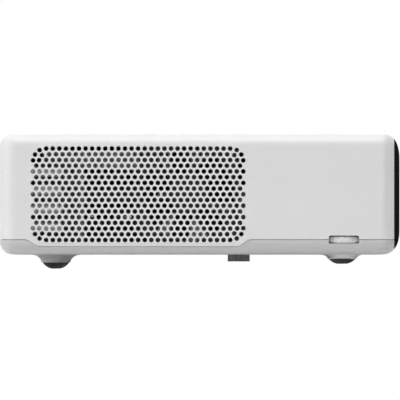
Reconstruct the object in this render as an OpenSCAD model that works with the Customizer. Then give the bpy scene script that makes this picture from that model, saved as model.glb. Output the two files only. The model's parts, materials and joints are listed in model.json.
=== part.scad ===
/* [Case] */
// Length from the rear face to the front panel
case_l = 280; // [276:1:290]
// Width across the two sides
case_w = 340; // [336:1:350]
// Height of the underside above the soles of the rear feet
case_z0 = 10; // [10:0.1:10.5]
// Height of the top face
case_z1 = 94.4; // [94:0.1:96]
// Wall thickness of the moulded shells
wall = 2.5; // [2.2:0.1:2.8]
// Height of the parting line between the upper and lower case
seam_z = 20.4; // [20:0.1:21]
// Height of the parting line where it dips under the side grille
seam_dip_z = 15.4; // [15:0.1:16]
// Width of the groove along the parting line
seam_gap = 0.3; // [0.2:0.1:0.5]

/* [Side grille] */
// Columns of holes in the long rows
grille_cols = 33; // [29:1:33]
// Rows of holes
grille_rows = 17; // [15:2:17]
// Distance between the holes of a row
grille_pitch_x = 4.6; // [4.5:0.05:4.65]
// Distance between the rows
grille_pitch_z = 4; // [3.9:0.05:4]
// Diameter of each hole
grille_hole_d = 3.1; // [2.6:0.1:3.2]

/* [Feet] */
// Diameter of the rubber pads
pad_d = 17; // [16:0.5:17]
// Height by which the front feet are screwed out
foot_travel = 12; // [8:1:12]
// Radius of the ribbed foot wheels
wheel_r = 18; // [17:0.5:18]
// Ribs round each foot wheel
wheel_ribs = 60; // [40:2:72]

/* [Lens] */
// Sideways place of the lens axis
lens_y = -38; // [-40:1:-34]
// Height of the lens axis
lens_z = 51; // [50.5:0.5:51.5]
// Outer radius of the focus and zoom rings
ring_r = 31; // [30:0.5:31]
// Ribs round each of the two rings
ring_ribs = 60; // [40:2:72]

/* [Disc drive] */
// Diameter of the recess that takes a disc
disc_d = 121; // [120.5:0.1:121.2]
// Distance that the tray slides out
tray_travel = 126; // [110:1:126]

/* [Hidden] */

$fn = 48;
eps = 0.01;

// ---- the case ----
rear_x = -case_l / 2;
front_x = case_l / 2;
half_w = case_w / 2;
arc_steps = 8;
edge_r = 9;
top_edge_r = 8.5;
rear_corner_r = 11;
nose_top = [11, 18];
nose_bottom = [13, 17];
nose_side = [13, 18];
bezel_x = 130.4;
panel_x = 136.2;
panel_back_x = 134.2;
joint_gap = 0.3;
top_in_z = case_z1 - wall;
floor_z = case_z0 + wall;

function arc(centre, radii, from, to) =
    [for (i = [0:arc_steps]) let (t = from + (to - from) * i / arc_steps)
        centre + [radii[0] * cos(t), radii[1] * sin(t)]];

// The outline seen from the side, drawn in by the distance d
function side_outline(d) = concat(
    arc([front_x, case_z0] + [-nose_bottom[0], nose_bottom[1]], nose_bottom - [d, d], -90, 0),
    arc([front_x, case_z1] - nose_top, nose_top - [d, d], 0, 90),
    arc([rear_x + edge_r, case_z1 - edge_r], [edge_r - d, edge_r - d], 90, 180),
    arc([rear_x + edge_r, case_z0 + edge_r], [edge_r - d, edge_r - d], 180, 270));

// The outline seen from above
function plan_outline(d) = concat(
    arc([front_x - nose_side[0], nose_side[1] - half_w], nose_side - [d, d], -90, 0),
    arc([front_x - nose_side[0], half_w - nose_side[1]], nose_side - [d, d], 0, 90),
    arc([rear_x, half_w] + [rear_corner_r, -rear_corner_r],
        [rear_corner_r - d, rear_corner_r - d], 90, 180),
    arc([rear_x, -half_w] + [rear_corner_r, rear_corner_r],
        [rear_corner_r - d, rear_corner_r - d], 180, 270));

// The outline seen from the front
function front_outline(d) = concat(
    arc([half_w - edge_r, case_z0 + edge_r], [edge_r - d, edge_r - d], -90, 0),
    arc([half_w - top_edge_r, case_z1 - top_edge_r],
        [top_edge_r - d, top_edge_r - d], 0, 90),
    arc([top_edge_r - half_w, case_z1 - top_edge_r],
        [top_edge_r - d, top_edge_r - d], 90, 180),
    arc([edge_r - half_w, case_z0 + edge_r], [edge_r - d, edge_r - d], 180, 270));

module along_y(w) {
    rotate([90, 0, 0]) linear_extrude(w, center = true) children();
}

module along_x(from, to) {
    translate([from, 0, 0]) rotate([90, 0, 90]) linear_extrude(to - from) children();
}

module box(low, high) {
    translate(low) cube(high - low);
}

module rod_x(at, r, from, to) {
    translate([from, at[0], at[1]]) rotate([0, 90, 0]) cylinder(r = r, h = to - from);
}

module rod_y(at, r, from, to) {
    translate([at[0], from, at[1]]) rotate([-90, 0, 0]) cylinder(r = r, h = to - from);
}

module rod_z(at, r, from, to) {
    translate([at[0], at[1], from]) cylinder(r = r, h = to - from);
}

// A rectangle with round corners, from low to high
module round_rect(low, high, r) {
    polygon(concat(
        arc([high[0] - r, low[1] + r], [r, r], -90, 0),
        arc([high[0] - r, high[1] - r], [r, r], 0, 90),
        arc([low[0] + r, high[1] - r], [r, r], 90, 180),
        arc([low[0] + r, low[1] + r], [r, r], 180, 270)));
}

// A ring's rim with straight ribs: four points a rib
function ribbed(r, depth, ribs) =
    [for (i = [0:ribs - 1]) for (k = [0:3]) let (t = 360 * (i + k / 4) / ribs)
        (k < 2 ? r : r - depth) * [cos(t), sin(t)]];

// The whole body, drawn in by the distance d
module block(d) {
    intersection() {
        along_y(case_w) polygon(side_outline(d));
        linear_extrude(case_z1 + 1) polygon(plan_outline(d));
        along_x(rear_x - 1, front_x + 1) polygon(front_outline(d));
    }
}

module shell() {
    difference() {
        block(0);
        block(wall);
        box([bezel_x, -half_w - 1, 0], [front_x + 1, half_w + 1, case_z1 + 1]);
    }
}

// The parting line from rear to front: level, an S down, level under the grille, an S up
dip_rear = [-122.7, -112];
dip_front = [25.7, 36.2];
s_steps = 6;

function s_curve(span, from, to) =
    [for (i = [0:s_steps]) let (u = i / s_steps, f = u * u * (3 - 2 * u))
        [span[0] + (span[1] - span[0]) * u, from + (to - from) * f]];

function seam_line(dz) = concat(
    [[rear_x - 1, seam_z + dz]],
    s_curve(dip_rear, seam_z + dz, seam_dip_z + dz),
    s_curve(dip_front, seam_dip_z + dz, seam_z + dz),
    [[front_x + 1, seam_z + dz]]);

module above_seam(dz) {
    along_y(case_w + 2)
        polygon(concat(seam_line(dz), [[front_x + 1, case_z1 + 1], [rear_x - 1, case_z1 + 1]]));
}

module below_seam(dz) {
    along_y(case_w + 2) polygon(concat(seam_line(dz), [[front_x + 1, 0], [rear_x - 1, 0]]));
}

// ---- the side grille ----
grille_x = -43.1;
grille_z = 52.1;
grille_edge = 4.2;
grille_corner_r = 9;
grille_gap = 0.1;
grille_half = [(grille_cols - 1) / 2 * grille_pitch_x + grille_edge,
    (grille_rows - 1) / 2 * grille_pitch_z + grille_edge - 0.7];
hole_half = [(grille_cols - 1) / 2 * grille_pitch_x, (grille_rows - 1) / 2 * grille_pitch_z];

module grille_outline(d) {
    translate([grille_x, grille_z])
        round_rect(-grille_half + [d, d], grille_half - [d, d], grille_corner_r - d);
}

// Holes beside a corner step aside to follow its round: column, row, outward, towards the middle
corner_moves = [[1, 0, 0, 1.05], [0, 1, 0.9, 0.15], [1, 1, 0.55, 0.6], [2, 1, 0.2, 0.05],
    [0, 2, 0, 0.25], [1, 2, 0.3, 0.13]];

function long_row(row) = row % 2 == 0;
function end_row(row) = row == 0 || row == grille_rows - 1;
function last_col(row) = grille_cols - (long_row(row) ? 1 : 2);

function corner_move(col, row) =
    concat([for (m = corner_moves) if (m[0] == col && m[1] == row) [m[2], m[3]]], [[0, 0]])[0];

function hole_at(col, row) = let (
    x = (col + (long_row(row) ? 0 : 0.5)) * grille_pitch_x - hole_half[0],
    z = row * grille_pitch_z - hole_half[1],
    move = corner_move(min(col, last_col(row) - col), min(row, grille_rows - 1 - row)))
    [x + sign(x) * move[0], z - sign(z) * move[1]];

module side_grille() color("white") {
    translate([0, -half_w + wall, 0]) rotate([90, 0, 0]) linear_extrude(wall)
        difference() {
            grille_outline(grille_gap);
            for (row = [0:grille_rows - 1])
                for (col = [end_row(row) ? 1 : 0 : last_col(row) - (end_row(row) ? 1 : 0)])
                    translate([grille_x, grille_z] + hole_at(col, row))
                        circle(d = grille_hole_d, $fn = 32);
        }
}

// ---- places of the fittings ----
foot_rear = [-101.9, 125];
foot_front = [100.8, 151.8];
stem_r = 5;
run = 0.05;
wheel_z = [17.6, 22.8];
wheel_window = [[90.3, 17.2], [111.5, 23.2]];
pillars = [[-127, 156.5], [118, 112]];
pillar_r = 4.5;
screw_r = 1.5;
screw_head_r = 3;
small_screw_r = 1.25;
mount_x = [-102.4, 27.6];
mount_y = 60;
mount_boss_r = 5.75;
mount_boss_z = 5.1;
insert_r = 3;
insert_bore_r = 2;
insert_l = 10;
lamp_window = [[-88, -118], [-38, -68]];
well_low = [62, lens_y - 25];
well_high = [116, lens_y + 25];
well_r = 6;
well_wall = 1.5;
well_gap = 0.2;
well_floor_z = 78;
trim_low = well_low - [8, 8];
trim_high = well_high + [6, 8];
trim_r = 12;
trim_lip = 2;
keypad_low = [-24, -98];
keypad_high = [34, -2];
keypad_depth = 1;
round_keys = [[14, -16, 6], [0, -16, 4.2], [-14, -16, 4.2], [0, -50, 6],
    [14, -84, 4.2], [0, -84, 4.2], [-14, -84, 4.2]];
pad_centre = [0, -50];
arrow_r = [8.6, 17];
arrow_half = 40;
key_gap = 0.3;
light_x = 29;
light_r = 1.3;
light_y = [-58, -50, -42];
rear_window = [[-66, 26], [112, 68]];
inlet_at = [94, 42];
speaker_y = 134.3;
speaker_z = 50;
speaker_half = 17;

// ---- disc drive places ----
drive_x = [-112, 16];
drive_y = [40, 166.2];
drive_z = [70, 83];
sheet = 0.8;
disc_x = (drive_x[0] + drive_x[1]) / 2;
disc_y = 104.3;
tray_top = 80;
tray_floor = 77.4;
tray_under = 76.2;
tray_z0 = 71.6;
tray_y = [42, 166.5];
tray_gap = 0.4;
bezel_low = [drive_x[0] + 0.4, 70.9];
bezel_high = [drive_x[1] - 0.4, 82.1];
ear_x = [drive_x[0] - 4, drive_x[1] + 4];
ear_y = [58, 150];
ear_t = 1.2;
board_z = 62;
board_holes = [[-118, 24], [-88, 28]];
keypad_posts = [[keypad_low[0], keypad_high[0]], [keypad_low[1], keypad_high[1]]];
keypad_z = 84;
board_t = 1.6;

module mirrored_y() {
    children();
    mirror([0, 1, 0]) children();
}

module keys_2d(d) {
    for (k = round_keys) translate([k[0], k[1]]) circle(r = k[2] + d);
    for (turn = [0:90:270]) translate(pad_centre) rotate(turn) arrow_2d(d);
}

// A quarter of the ring of arrow keys, grown by d all round
module arrow_2d(d) {
    far = arrow_r[1] * 2;
    tip = -d / sin(arrow_half);
    difference() {
        intersection() {
            circle(r = arrow_r[1] + d);
            polygon([[tip, 0], [tip + far * cos(arrow_half), -far * sin(arrow_half)],
                [tip + far * cos(arrow_half), far * sin(arrow_half)]]);
        }
        circle(r = arrow_r[0] - d);
    }
}

// ---- upper case ----
slot_w = 2;
slot_count = 7;
slot_pitch = 4.2;
slots_r = 15;
lip_w = 3;

module speaker_slots() {
    for (i = [0:slot_count - 1]) let (
        y = (i - (slot_count - 1) / 2) * slot_pitch,
        h = sqrt(slots_r * slots_r - y * y))
        box([rear_x - 1, speaker_y + y - slot_w / 2, speaker_z - h],
            [rear_x + wall + 1, speaker_y + y + slot_w / 2, speaker_z + h]);
}

module upper_case() color("white") {
    difference() {
        union() {
            intersection() {
                shell();
                above_seam(seam_gap / 2);
            }
            // a lip behind the grille that the insert bears on
            intersection() {
                translate([0, -half_w + wall + 1.5, 0]) rotate([90, 0, 0]) linear_extrude(1.5)
                    difference() {
                        grille_outline(-lip_w);
                        grille_outline(1);
                    }
                above_seam(seam_gap / 2);
            }
            mirrored_y() for (p = pillars) rod_z(p, pillar_r, seam_z + seam_gap, top_in_z + 1);
            // posts that the disc drive and the keypad's board hang from
            for (x = ear_x, y = ear_y) rod_z([x, y], 3.4, drive_z[0] + ear_t, top_in_z + 0.5);
            for (x = keypad_posts[0], y = keypad_posts[1])
                rod_z([x, y], 3, keypad_z + board_t, top_in_z + 0.5);
            // ribs under the top
            for (x = [-70, 45])
                box([x - 0.9, -half_w + wall, top_in_z - 4], [x + 0.9, -104, top_in_z + 0.5]);
            // a frame round the keypad that stiffens the thin recess
            box([keypad_low[0] - 4, keypad_low[1] - 4, top_in_z - 2],
                [keypad_high[0] + 4, keypad_low[1] - 2, top_in_z + 0.5]);
            box([keypad_low[0] - 4, keypad_high[1] + 2, top_in_z - 2],
                [keypad_high[0] + 4, keypad_high[1] + 4, top_in_z + 0.5]);
        }
        translate([0, -half_w + wall, 0]) rotate([90, 0, 0]) linear_extrude(wall + 1)
            grille_outline(0);
        mirrored_y() for (p = pillars) rod_z(p, screw_r, seam_z - 1, seam_z + 24);
        for (x = ear_x, y = ear_y) rod_z([x, y], small_screw_r, drive_z[0], drive_z[0] + 12);
        for (x = keypad_posts[0], y = keypad_posts[1])
            rod_z([x, y], small_screw_r, keypad_z, keypad_z + 6);
        // the tray's window
        box([bezel_low[0] - tray_gap, half_w - wall - 1, bezel_low[1] - tray_gap],
            [bezel_high[0] + tray_gap, half_w + 1, bezel_high[1] + tray_gap]);
        // the keypad's recess and its holes
        translate([0, 0, case_z1 - keypad_depth]) linear_extrude(2)
            round_rect(keypad_low, keypad_high, 8);
        translate([0, 0, top_in_z - 3]) linear_extrude(wall + 4) keys_2d(key_gap);
        for (y = light_y) rod_z([light_x, y], light_r + 0.1, top_in_z - 3, case_z1 + 1);
        translate([0, 0, top_in_z - 1]) linear_extrude(wall + 2)
            round_rect(trim_low, trim_high, trim_r);
        along_x(rear_x - 1, rear_x + wall + 1)
            round_rect(rear_window[0], rear_window[1], 4);
        mirrored_y() speaker_slots();
        mirrored_y() wheel_opening();
    }
}

module wheel_opening() {
    translate([0, -half_w, 0]) rotate([90, 0, 0])
        translate([0, 0, -wall - 2]) linear_extrude(wall + 3)
            round_rect(wheel_window[0], wheel_window[1], 1.2);
}

// ---- lower case ----
tongue = 1.2;
tongue_h = 2.5;
tongue_back = 5;
tongue_in = 6;
vent_count = 12;
vent_pitch = 6;
vent_w = 2.4;
vent_x = [66, 112];
vent_y = 50;
flare_rear = [4.4, 9.4, 17.5];
flare_front = [7.1, 9.2, 15.2];
mount_rib = [15.4, 1.6];

// A foot's boss: a hollow curve from the underside down to the pad, given as the height of
// its end, the end's radius and the radius where it leaves the underside
module boss_flare(at, flare) {
    end_z = flare[0];
    end_r = flare[1];
    top_r = flare[2];
    translate([at[0], at[1], 0]) rotate_extrude() polygon(concat(
        [[0, end_z], [end_r, end_z]],
        [for (i = [0:arc_steps]) let (t = 90 * i / arc_steps)
            [top_r - (top_r - end_r) * cos(t), end_z + (case_z0 - end_z) * sin(t)]],
        [[top_r, case_z0 + 1], [0, case_z0 + 1]]));
}

module mount_boss(x, y) {
    rod_z([x, y], mount_boss_r, mount_boss_z, floor_z + 5);
    for (turn = [0, 90]) translate([x, y, mount_boss_z]) rotate(turn)
        translate([-mount_rib[0] / 2, -mount_rib[1] / 2, 0])
            cube([mount_rib[0], mount_rib[1], case_z0 - mount_boss_z + 1]);
}

// Two legs and a beam over the foot wheel, with the guides that its screw runs through
bridge_half = 24.5;
bridge_leg = 5;
bridge_w = 8;
bridge_z = [23.4, 25.4];

module foot_bridge() {
    x = foot_front[0];
    y = -foot_front[1];
    for (side = [-1, 1]) let (leg_x = x + side * (bridge_half - bridge_leg / 2))
        box([leg_x - bridge_leg / 2, y - bridge_w / 2, floor_z - 1],
            [leg_x + bridge_leg / 2, y + bridge_w / 2, bridge_z[1]]);
    box([x - bridge_half, y - bridge_w / 2, bridge_z[0]],
        [x + bridge_half, y + bridge_w / 2, bridge_z[1]]);
    rod_z([x, y], 8, bridge_z[0] - 0.2, bridge_z[1] + 1.6);
    rod_z([x, y], 9, floor_z - 1, wheel_z[0] - 0.3);
}

// The tongue that stands inside the upper case all round, but not behind the grille
module seam_tongue() {
    difference() {
        union() {
            intersection() {
                block(wall - 0.3);
                below_seam(-seam_gap / 2);
            }
            intersection() {
                block(wall + 0.1);
                below_seam(tongue_h);
            }
        }
        block(wall + tongue);
        below_seam(-tongue_h);
        box([bezel_x - tongue_back, -half_w, 0], [front_x, half_w, case_z1]);
        box([rear_x + tongue_in, tongue_in - half_w, 0], [front_x, half_w - tongue_in, case_z1]);
        mirrored_y() box([wheel_window[0][0] - 4, wall - half_w, 0],
            [wheel_window[1][0] + 4, 10 - half_w, case_z1]);
        box([grille_x - grille_half[0] - 5, -half_w, 0],
            [grille_x + grille_half[0] + 5, 20 - half_w, case_z1]);
    }
}

module lower_case() color("gainsboro") {
    difference() {
        union() {
            intersection() {
                shell();
                below_seam(-seam_gap / 2);
            }
            seam_tongue();
            mirrored_y() {
                boss_flare(foot_rear, flare_rear);
                boss_flare(foot_front, flare_front);
                foot_bridge();
                for (p = pillars) rod_z(p, pillar_r + 0.5, case_z0 + 1, seam_z);
                for (x = mount_x) mount_boss(x, mount_y);
            }
            // ribs on the floor
            for (x = [-128, 60, 122])
                box([x - 1, -105, floor_z - 0.5], [x + 1, 105, floor_z + 4]);
            // posts under the main board and a cradle for the fan
            for (x = board_holes[0], y = board_holes[1])
                rod_z([x, y], 3.5, floor_z - 0.5, board_z);
            for (x = [-1, 1])
                box([fan_at[0] + x * 28 - 2, fan_y[0], floor_z - 0.5],
                    [fan_at[0] + x * 28 + 2, fan_y[1], fan_at[1] - fan_half]);
        }
        mirrored_y() {
            rod_z([foot_front[0], foot_front[1]], stem_r + run, 0, 30);
            rod_z(foot_rear, 4, 0, 9);
            for (p = pillars) {
                rod_z(p, screw_r + 0.2, 0, seam_z + 1);
                rod_z(p, screw_head_r + 0.3, 0, case_z0 + 4);
            }
            for (x = mount_x) rod_z([x, mount_y], insert_r, 0, mount_boss_z + insert_l);
            wheel_opening();
        }
        for (x = board_holes[0], y = board_holes[1])
            rod_z([x, y], small_screw_r, board_z - 10, board_z + 1);
        translate([0, 0, case_z0 - 1]) linear_extrude(wall + 7)
            round_rect(lamp_window[0], lamp_window[1], 3);
        // intake slots under the empty bay beside the lens
        for (i = [0:vent_count - 1])
            let (y = vent_y + (i - (vent_count - 1) / 2) * vent_pitch)
                box([vent_x[0], y - vent_w / 2, case_z0 - 1],
                    [vent_x[1], y + vent_w / 2, floor_z + 1]);
    }
    // the ledge that the lamp cover seats on
    translate([0, 0, floor_z]) linear_extrude(1.5) difference() {
        round_rect(lamp_window[0] - [2, 2], lamp_window[1] + [2, 2], 4);
        round_rect(lamp_window[0] + [2, 2], lamp_window[1] - [2, 2], 2);
    }
}

// ---- front ----
// The ring that joins the panel to the case, with a tongue that enters the case
bezel_flange = 1.6;

module front_bezel() color("white") {
    difference() {
        union() {
            intersection() {
                block(0);
                box([bezel_x + joint_gap / 2, -half_w, 0], [panel_x, half_w, case_z1]);
            }
            intersection() {
                block(wall + 0.1);
                box([bezel_x - tongue_back + 0.6, -half_w, 0], [panel_x, half_w, case_z1]);
            }
        }
        block(wall + bezel_flange);
        intersection() {
            block(wall);
            box([panel_back_x - 0.2, -half_w, 0], [front_x, half_w, case_z1]);
        }
    }
}

surround_r = 27;
ir_at = [62, 52];
ir_r = 7;

module front_panel() color("black") {
    difference() {
        union() {
            intersection() {
                block(0);
                box([panel_x, -half_w, 0], [front_x, half_w, case_z1]);
            }
            intersection() {
                block(wall + 0.3);
                box([panel_back_x, -half_w, 0], [panel_x + eps, half_w, case_z1]);
            }
        }
        rod_x([lens_y, lens_z], surround_r + 0.2, panel_back_x - 1, front_x + 1);
        rod_x(ir_at, ir_r + 0.1, panel_back_x - 1, front_x + 1);
    }
}

module ir_window() color("darkred") {
    rod_x(ir_at, ir_r, panel_back_x, front_x - 0.4);
}

// The funnel between the panel's face and the lens
module lens_surround() color("dimgray") {
    translate([0, lens_y, lens_z]) rotate([0, 90, 0]) rotate_extrude() polygon([
        [surround_r - 1.6, front_x - 0.3], [surround_r, front_x - 0.3],
        [surround_r, panel_back_x], [surround_r + 2, panel_back_x],
        [surround_r + 2, panel_back_x - 1.6], [surround_r - 0.8, panel_back_x - 1.6],
        [23.4, 120], [21.4, 120], [22.4, 124]]);
}

// ---- lens ----
barrel_r = 21;
cell_r = 18;
zoom_x = [70, 84];
focus_x = [92, 108];

module lens_barrel() color("darkgray") {
    difference() {
        union() {
            rod_x([lens_y, lens_z], barrel_r, 42, 118);
            rod_x([lens_y, lens_z], barrel_r + 4, 85.2, 90.8);
            box([39, lens_y - 29, lens_z - 29], [42.5, lens_y + 29, lens_z + 29]);
        }
        rod_x([lens_y, lens_z], cell_r + run, 38, 119);
        for (y = [-24, 24], z = [-24, 24]) rod_x([lens_y + y, lens_z + z], 1.7, 38, 44);
    }
}

module ribbed_ring(x, r, bore, ribs) {
    translate([x[0], lens_y, lens_z]) rotate([0, 90, 0]) difference() {
        union() {
            linear_extrude(x[1] - x[0]) circle(r = r - 1.2);
            translate([0, 0, 1.5]) linear_extrude(x[1] - x[0] - 3)
                polygon(ribbed(r, 0.9, ribs));
        }
        translate([0, 0, -1]) cylinder(r = bore, h = x[1] - x[0] + 2);
    }
}

module zoom_ring() color("slategray") {
    ribbed_ring(zoom_x, ring_r, barrel_r + run, ring_ribs);
}

module focus_ring() color("slategray") {
    ribbed_ring(focus_x, ring_r, barrel_r + run, ring_ribs);
}

// A ring that carries a lens: bore, seat and front lip
module lens_cell(from, to, glass_r) {
    difference() {
        rod_x([lens_y, lens_z], cell_r, from, to);
        rod_x([lens_y, lens_z], glass_r, from + 3, to + 1);
        rod_x([lens_y, lens_z], glass_r - 2, from - 1, to + 1);
    }
}

// A lens with two bulged faces, as the outline of its half section turned round the axis
module lens_glass(mid, edge_t, r, bulge) {
    ball = (r * r + bulge * bulge) / (2 * bulge);
    half_angle = asin(r / ball);
    translate([mid, lens_y, lens_z]) rotate([0, 90, 0]) rotate_extrude() polygon(concat(
        [for (i = [0:arc_steps]) let (t = half_angle * i / arc_steps)
            [ball * sin(t), edge_t / 2 + bulge - ball * (1 - cos(t))]],
        [for (i = [arc_steps:-1:0]) let (t = half_angle * i / arc_steps)
            [ball * sin(t), -edge_t / 2 - bulge + ball * (1 - cos(t))]]));
}

module focus_cell() color("black") {
    lens_cell(100, 122, 16);
}

module front_lens() color("lightsteelblue") {
    lens_glass(112.6, 8, 16, 3);
}

module zoom_cell() color("black") {
    lens_cell(60, 74, 15);
}

module zoom_lens() color("lightsteelblue") {
    lens_glass(68.2, 6, 15, 2);
}

// A plate with rounded corners between two heights, grown by d all round
module plate(low, high, r, d, z0, z1) {
    translate([0, 0, z0]) linear_extrude(z1 - z0)
        round_rect(low - [d, d], high + [d, d], r + d);
}

// The finger well with a slot for each ring, below a trim plate that fills its hole in the
// top and holds with a lip under the hole's edge
module ring_well() color("lightgray") {
    difference() {
        union() {
            plate(well_low, well_high, well_r, -well_gap, well_floor_z - well_wall, case_z1 - well_gap);
            plate(trim_low, trim_high, trim_r, -well_gap, top_in_z - well_wall, case_z1 - well_gap);
            plate(trim_low, trim_high, trim_r, trim_lip, top_in_z - well_wall - 0.1, top_in_z - 0.1);
        }
        plate(well_low, well_high, well_r, -well_gap - well_wall, well_floor_z, case_z1 + 1);
        for (x = [zoom_x, focus_x])
            box([x[0] - 0.6, lens_y - 19.5, well_floor_z - 3],
                [x[1] + 0.6, lens_y + 19.5, well_floor_z + 1]);
    }
}

// ---- feet ----
// A rubber dome: the cap of a sphere over a short rim, cut flat at its sole
module dome(top_z, h, sole) {
    r = pad_d / 2;
    ball = (r * r + h * h) / (2 * h);
    intersection() {
        translate([0, 0, top_z - h + ball]) sphere(r = ball, $fn = 64);
        translate([0, 0, top_z - h + sole]) cylinder(r = r, h = h - sole);
    }
}

sole_cut = 0.2;
rear_pad_h = 4.4;
front_pad_top = 6.95;
front_pad_h = 3.75;

module rear_feet() color("black") {
    mirrored_y() translate([foot_rear[0], foot_rear[1], 0]) {
        dome(rear_pad_h, rear_pad_h + sole_cut, sole_cut);
        translate([0, 0, rear_pad_h - eps]) cylinder(r = 3.9, h = 4);
    }
}

module thumbwheel() {
    translate([foot_front[0], -foot_front[1], wheel_z[0]]) difference() {
        union() {
            cylinder(r = wheel_r - 0.8, h = wheel_z[1] - wheel_z[0]);
            translate([0, 0, 0.5]) linear_extrude(wheel_z[1] - wheel_z[0] - 1)
                polygon(ribbed(wheel_r, 0.7, wheel_ribs));
        }
        translate([0, 0, -1]) cylinder(r = stem_r + run, h = 10);
    }
}

module foot_stem() {
    rod_z([foot_front[0], -foot_front[1]], stem_r, 5.4, 40);
}

module foot_pad() {
    translate([foot_front[0], -foot_front[1], 0]) difference() {
        dome(front_pad_top, front_pad_h, sole_cut);
        translate([0, 0, 5.4]) cylinder(r = stem_r, h = 4);
    }
}

module right_thumbwheel() color("white") thumbwheel();
module left_thumbwheel() color("white") mirror([0, 1, 0]) thumbwheel();
module right_foot_stem() color("silver") foot_stem();
module left_foot_stem() color("silver") mirror([0, 1, 0]) foot_stem();
module right_foot_pad() color("black") foot_pad();
module left_foot_pad() color("black") mirror([0, 1, 0]) foot_pad();

// ---- underside ----
module lamp_cover() color("gainsboro") {
    difference() {
        union() {
            translate([0, 0, case_z0]) linear_extrude(wall)
                round_rect(lamp_window[0] + [0.3, 0.3], lamp_window[1] - [0.3, 0.3], 2.7);
            for (y = [-110, -76]) box([-84, y - 1, case_z0 + 1], [-42, y + 1, case_z0 + 6]);
        }
        for (i = [0:3]) box([-80, -101 + 5 * i, case_z0 - 1], [-62, -99.4 + 5 * i, case_z0 + 1]);
        rod_z([-46, -93], 1.7, case_z0 - 1, case_z0 + 4);
    }
}

module case_screws() color("silver") {
    mirrored_y() for (p = pillars) {
        rod_z(p, screw_head_r, case_z0 + 2, case_z0 + 4);
        rod_z(p, screw_r - 0.05, case_z0 + 4 - eps, seam_z + 14);
    }
    rod_z([-46, -93], 3.2, case_z0 - 1.6, case_z0);
    rod_z([-46, -93], 1.5, case_z0 - eps, case_z0 + 7);
    for (x = ear_x, y = ear_y) small_screw([x, y], drive_z[0]);
    for (x = keypad_posts[0], y = keypad_posts[1]) small_screw([x, y], keypad_z);
    for (x = board_holes[0], y = board_holes[1])
        translate([0, 0, 2 * board_z + board_t]) mirror([0, 0, 1]) small_screw([x, y], board_z);
}

// A pan-head screw whose head bears on the plane at height z from below
module small_screw(at, z) {
    rod_z(at, 2.6, z - 1.5, z);
    rod_z(at, small_screw_r - 0.05, z - eps, z + 6);
}

module mount_inserts() color("goldenrod") {
    mirrored_y() for (x = mount_x) difference() {
        rod_z([x, mount_y], insert_r, mount_boss_z + 0.1, mount_boss_z + insert_l);
        rod_z([x, mount_y], insert_bore_r, mount_boss_z - 1, mount_boss_z + insert_l + 1);
    }
}

// ---- keypad ----
key_top = 94.2;
flange_z = [90.2, 91.4];
key_travel = 0.6;

module round_key(k) {
    rod_z(k, k[2], flange_z[0], key_top);
    rod_z(k, k[2] + 1.1, flange_z[0], flange_z[1]);
    rod_z(k, 1.6, 89.7, flange_z[0] + eps);
}

module arrow_key(turn) {
    translate([pad_centre[0], pad_centre[1], 0]) rotate(turn) {
        translate([0, 0, flange_z[0]]) linear_extrude(key_top - flange_z[0]) arrow_2d(0);
        translate([13, 0, 89.7]) cylinder(r = 1.6, h = flange_z[0] - 89.7 + eps);
    }
}

module power_button() color("gainsboro") round_key(round_keys[0]);
module source_button() color("gainsboro") round_key(round_keys[1]);
module menu_button() color("gainsboro") round_key(round_keys[2]);
module enter_button() color("gainsboro") round_key(round_keys[3]);
module play_button() color("gainsboro") round_key(round_keys[4]);
module stop_button() color("gainsboro") round_key(round_keys[5]);
module eject_button() color("gainsboro") round_key(round_keys[6]);
module up_button() color("gainsboro") arrow_key(0);
module left_button() color("gainsboro") arrow_key(90);
module down_button() color("gainsboro") arrow_key(180);
module right_button() color("gainsboro") arrow_key(270);

module status_lights() color("limegreen") {
    for (y = light_y) {
        rod_z([light_x, y], light_r, 88, case_z1 - keypad_depth + 0.1);
        rod_z([light_x, y], light_r + 0.6, 85.6, 88.1);
    }
}

module keypad_board() color("darkgreen") {
    difference() {
        union() {
            box([keypad_low[0] - 4, keypad_low[1] - 4, keypad_z],
                [keypad_high[0] + 4, keypad_high[1] + 4, keypad_z + board_t]);
            for (k = round_keys) switch_body(k);
            for (turn = [0:90:270])
                switch_body(pad_centre + 13 * [cos(turn), sin(turn)]);
        }
        for (x = keypad_posts[0], y = keypad_posts[1])
            rod_z([x, y], 1.6, keypad_z - 1, keypad_z + board_t + 1);
    }
}

module switch_body(at) {
    box([at[0] - 2.5, at[1] - 2.5, 85.5], [at[0] + 2.5, at[1] + 2.5, 88]);
    rod_z(at, 1.4, 87.9, 89);
}

// ---- disc drive ----
rail_z = [71.3, 75.6];
rail_t = 1.5;
rail_y = [44, 162];
spindle = [disc_x, disc_y];

module drive_chassis() color("silver") {
    difference() {
        box([drive_x[0], drive_y[0], drive_z[0]], [drive_x[1], drive_y[1], drive_z[1]]);
        box([drive_x[0] + sheet, drive_y[0] + sheet, drive_z[0] + sheet],
            [drive_x[1] - sheet, drive_y[1] + 1, drive_z[1] + 1]);
        for (x = [-92, -4]) box([x - 8, 60, drive_z[0] - 1], [x + 8, 150, drive_z[0] + 2]);
    }
    // the board's connector and the mounting ears
    box([-72, drive_y[0] - 6, drive_z[0]], [-24, drive_y[0] + eps, drive_z[0] + 6]);
    for (x = ear_x, y = ear_y) drive_ear(x, y);
}

module drive_ear(x, y) {
    difference() {
        box([x - 4 - eps, y - 5, drive_z[0]], [x + 4 + eps, y + 5, drive_z[0] + ear_t]);
        rod_z([x, y], 1.6, drive_z[0] - 1, drive_z[0] + 3);
    }
}

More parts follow.
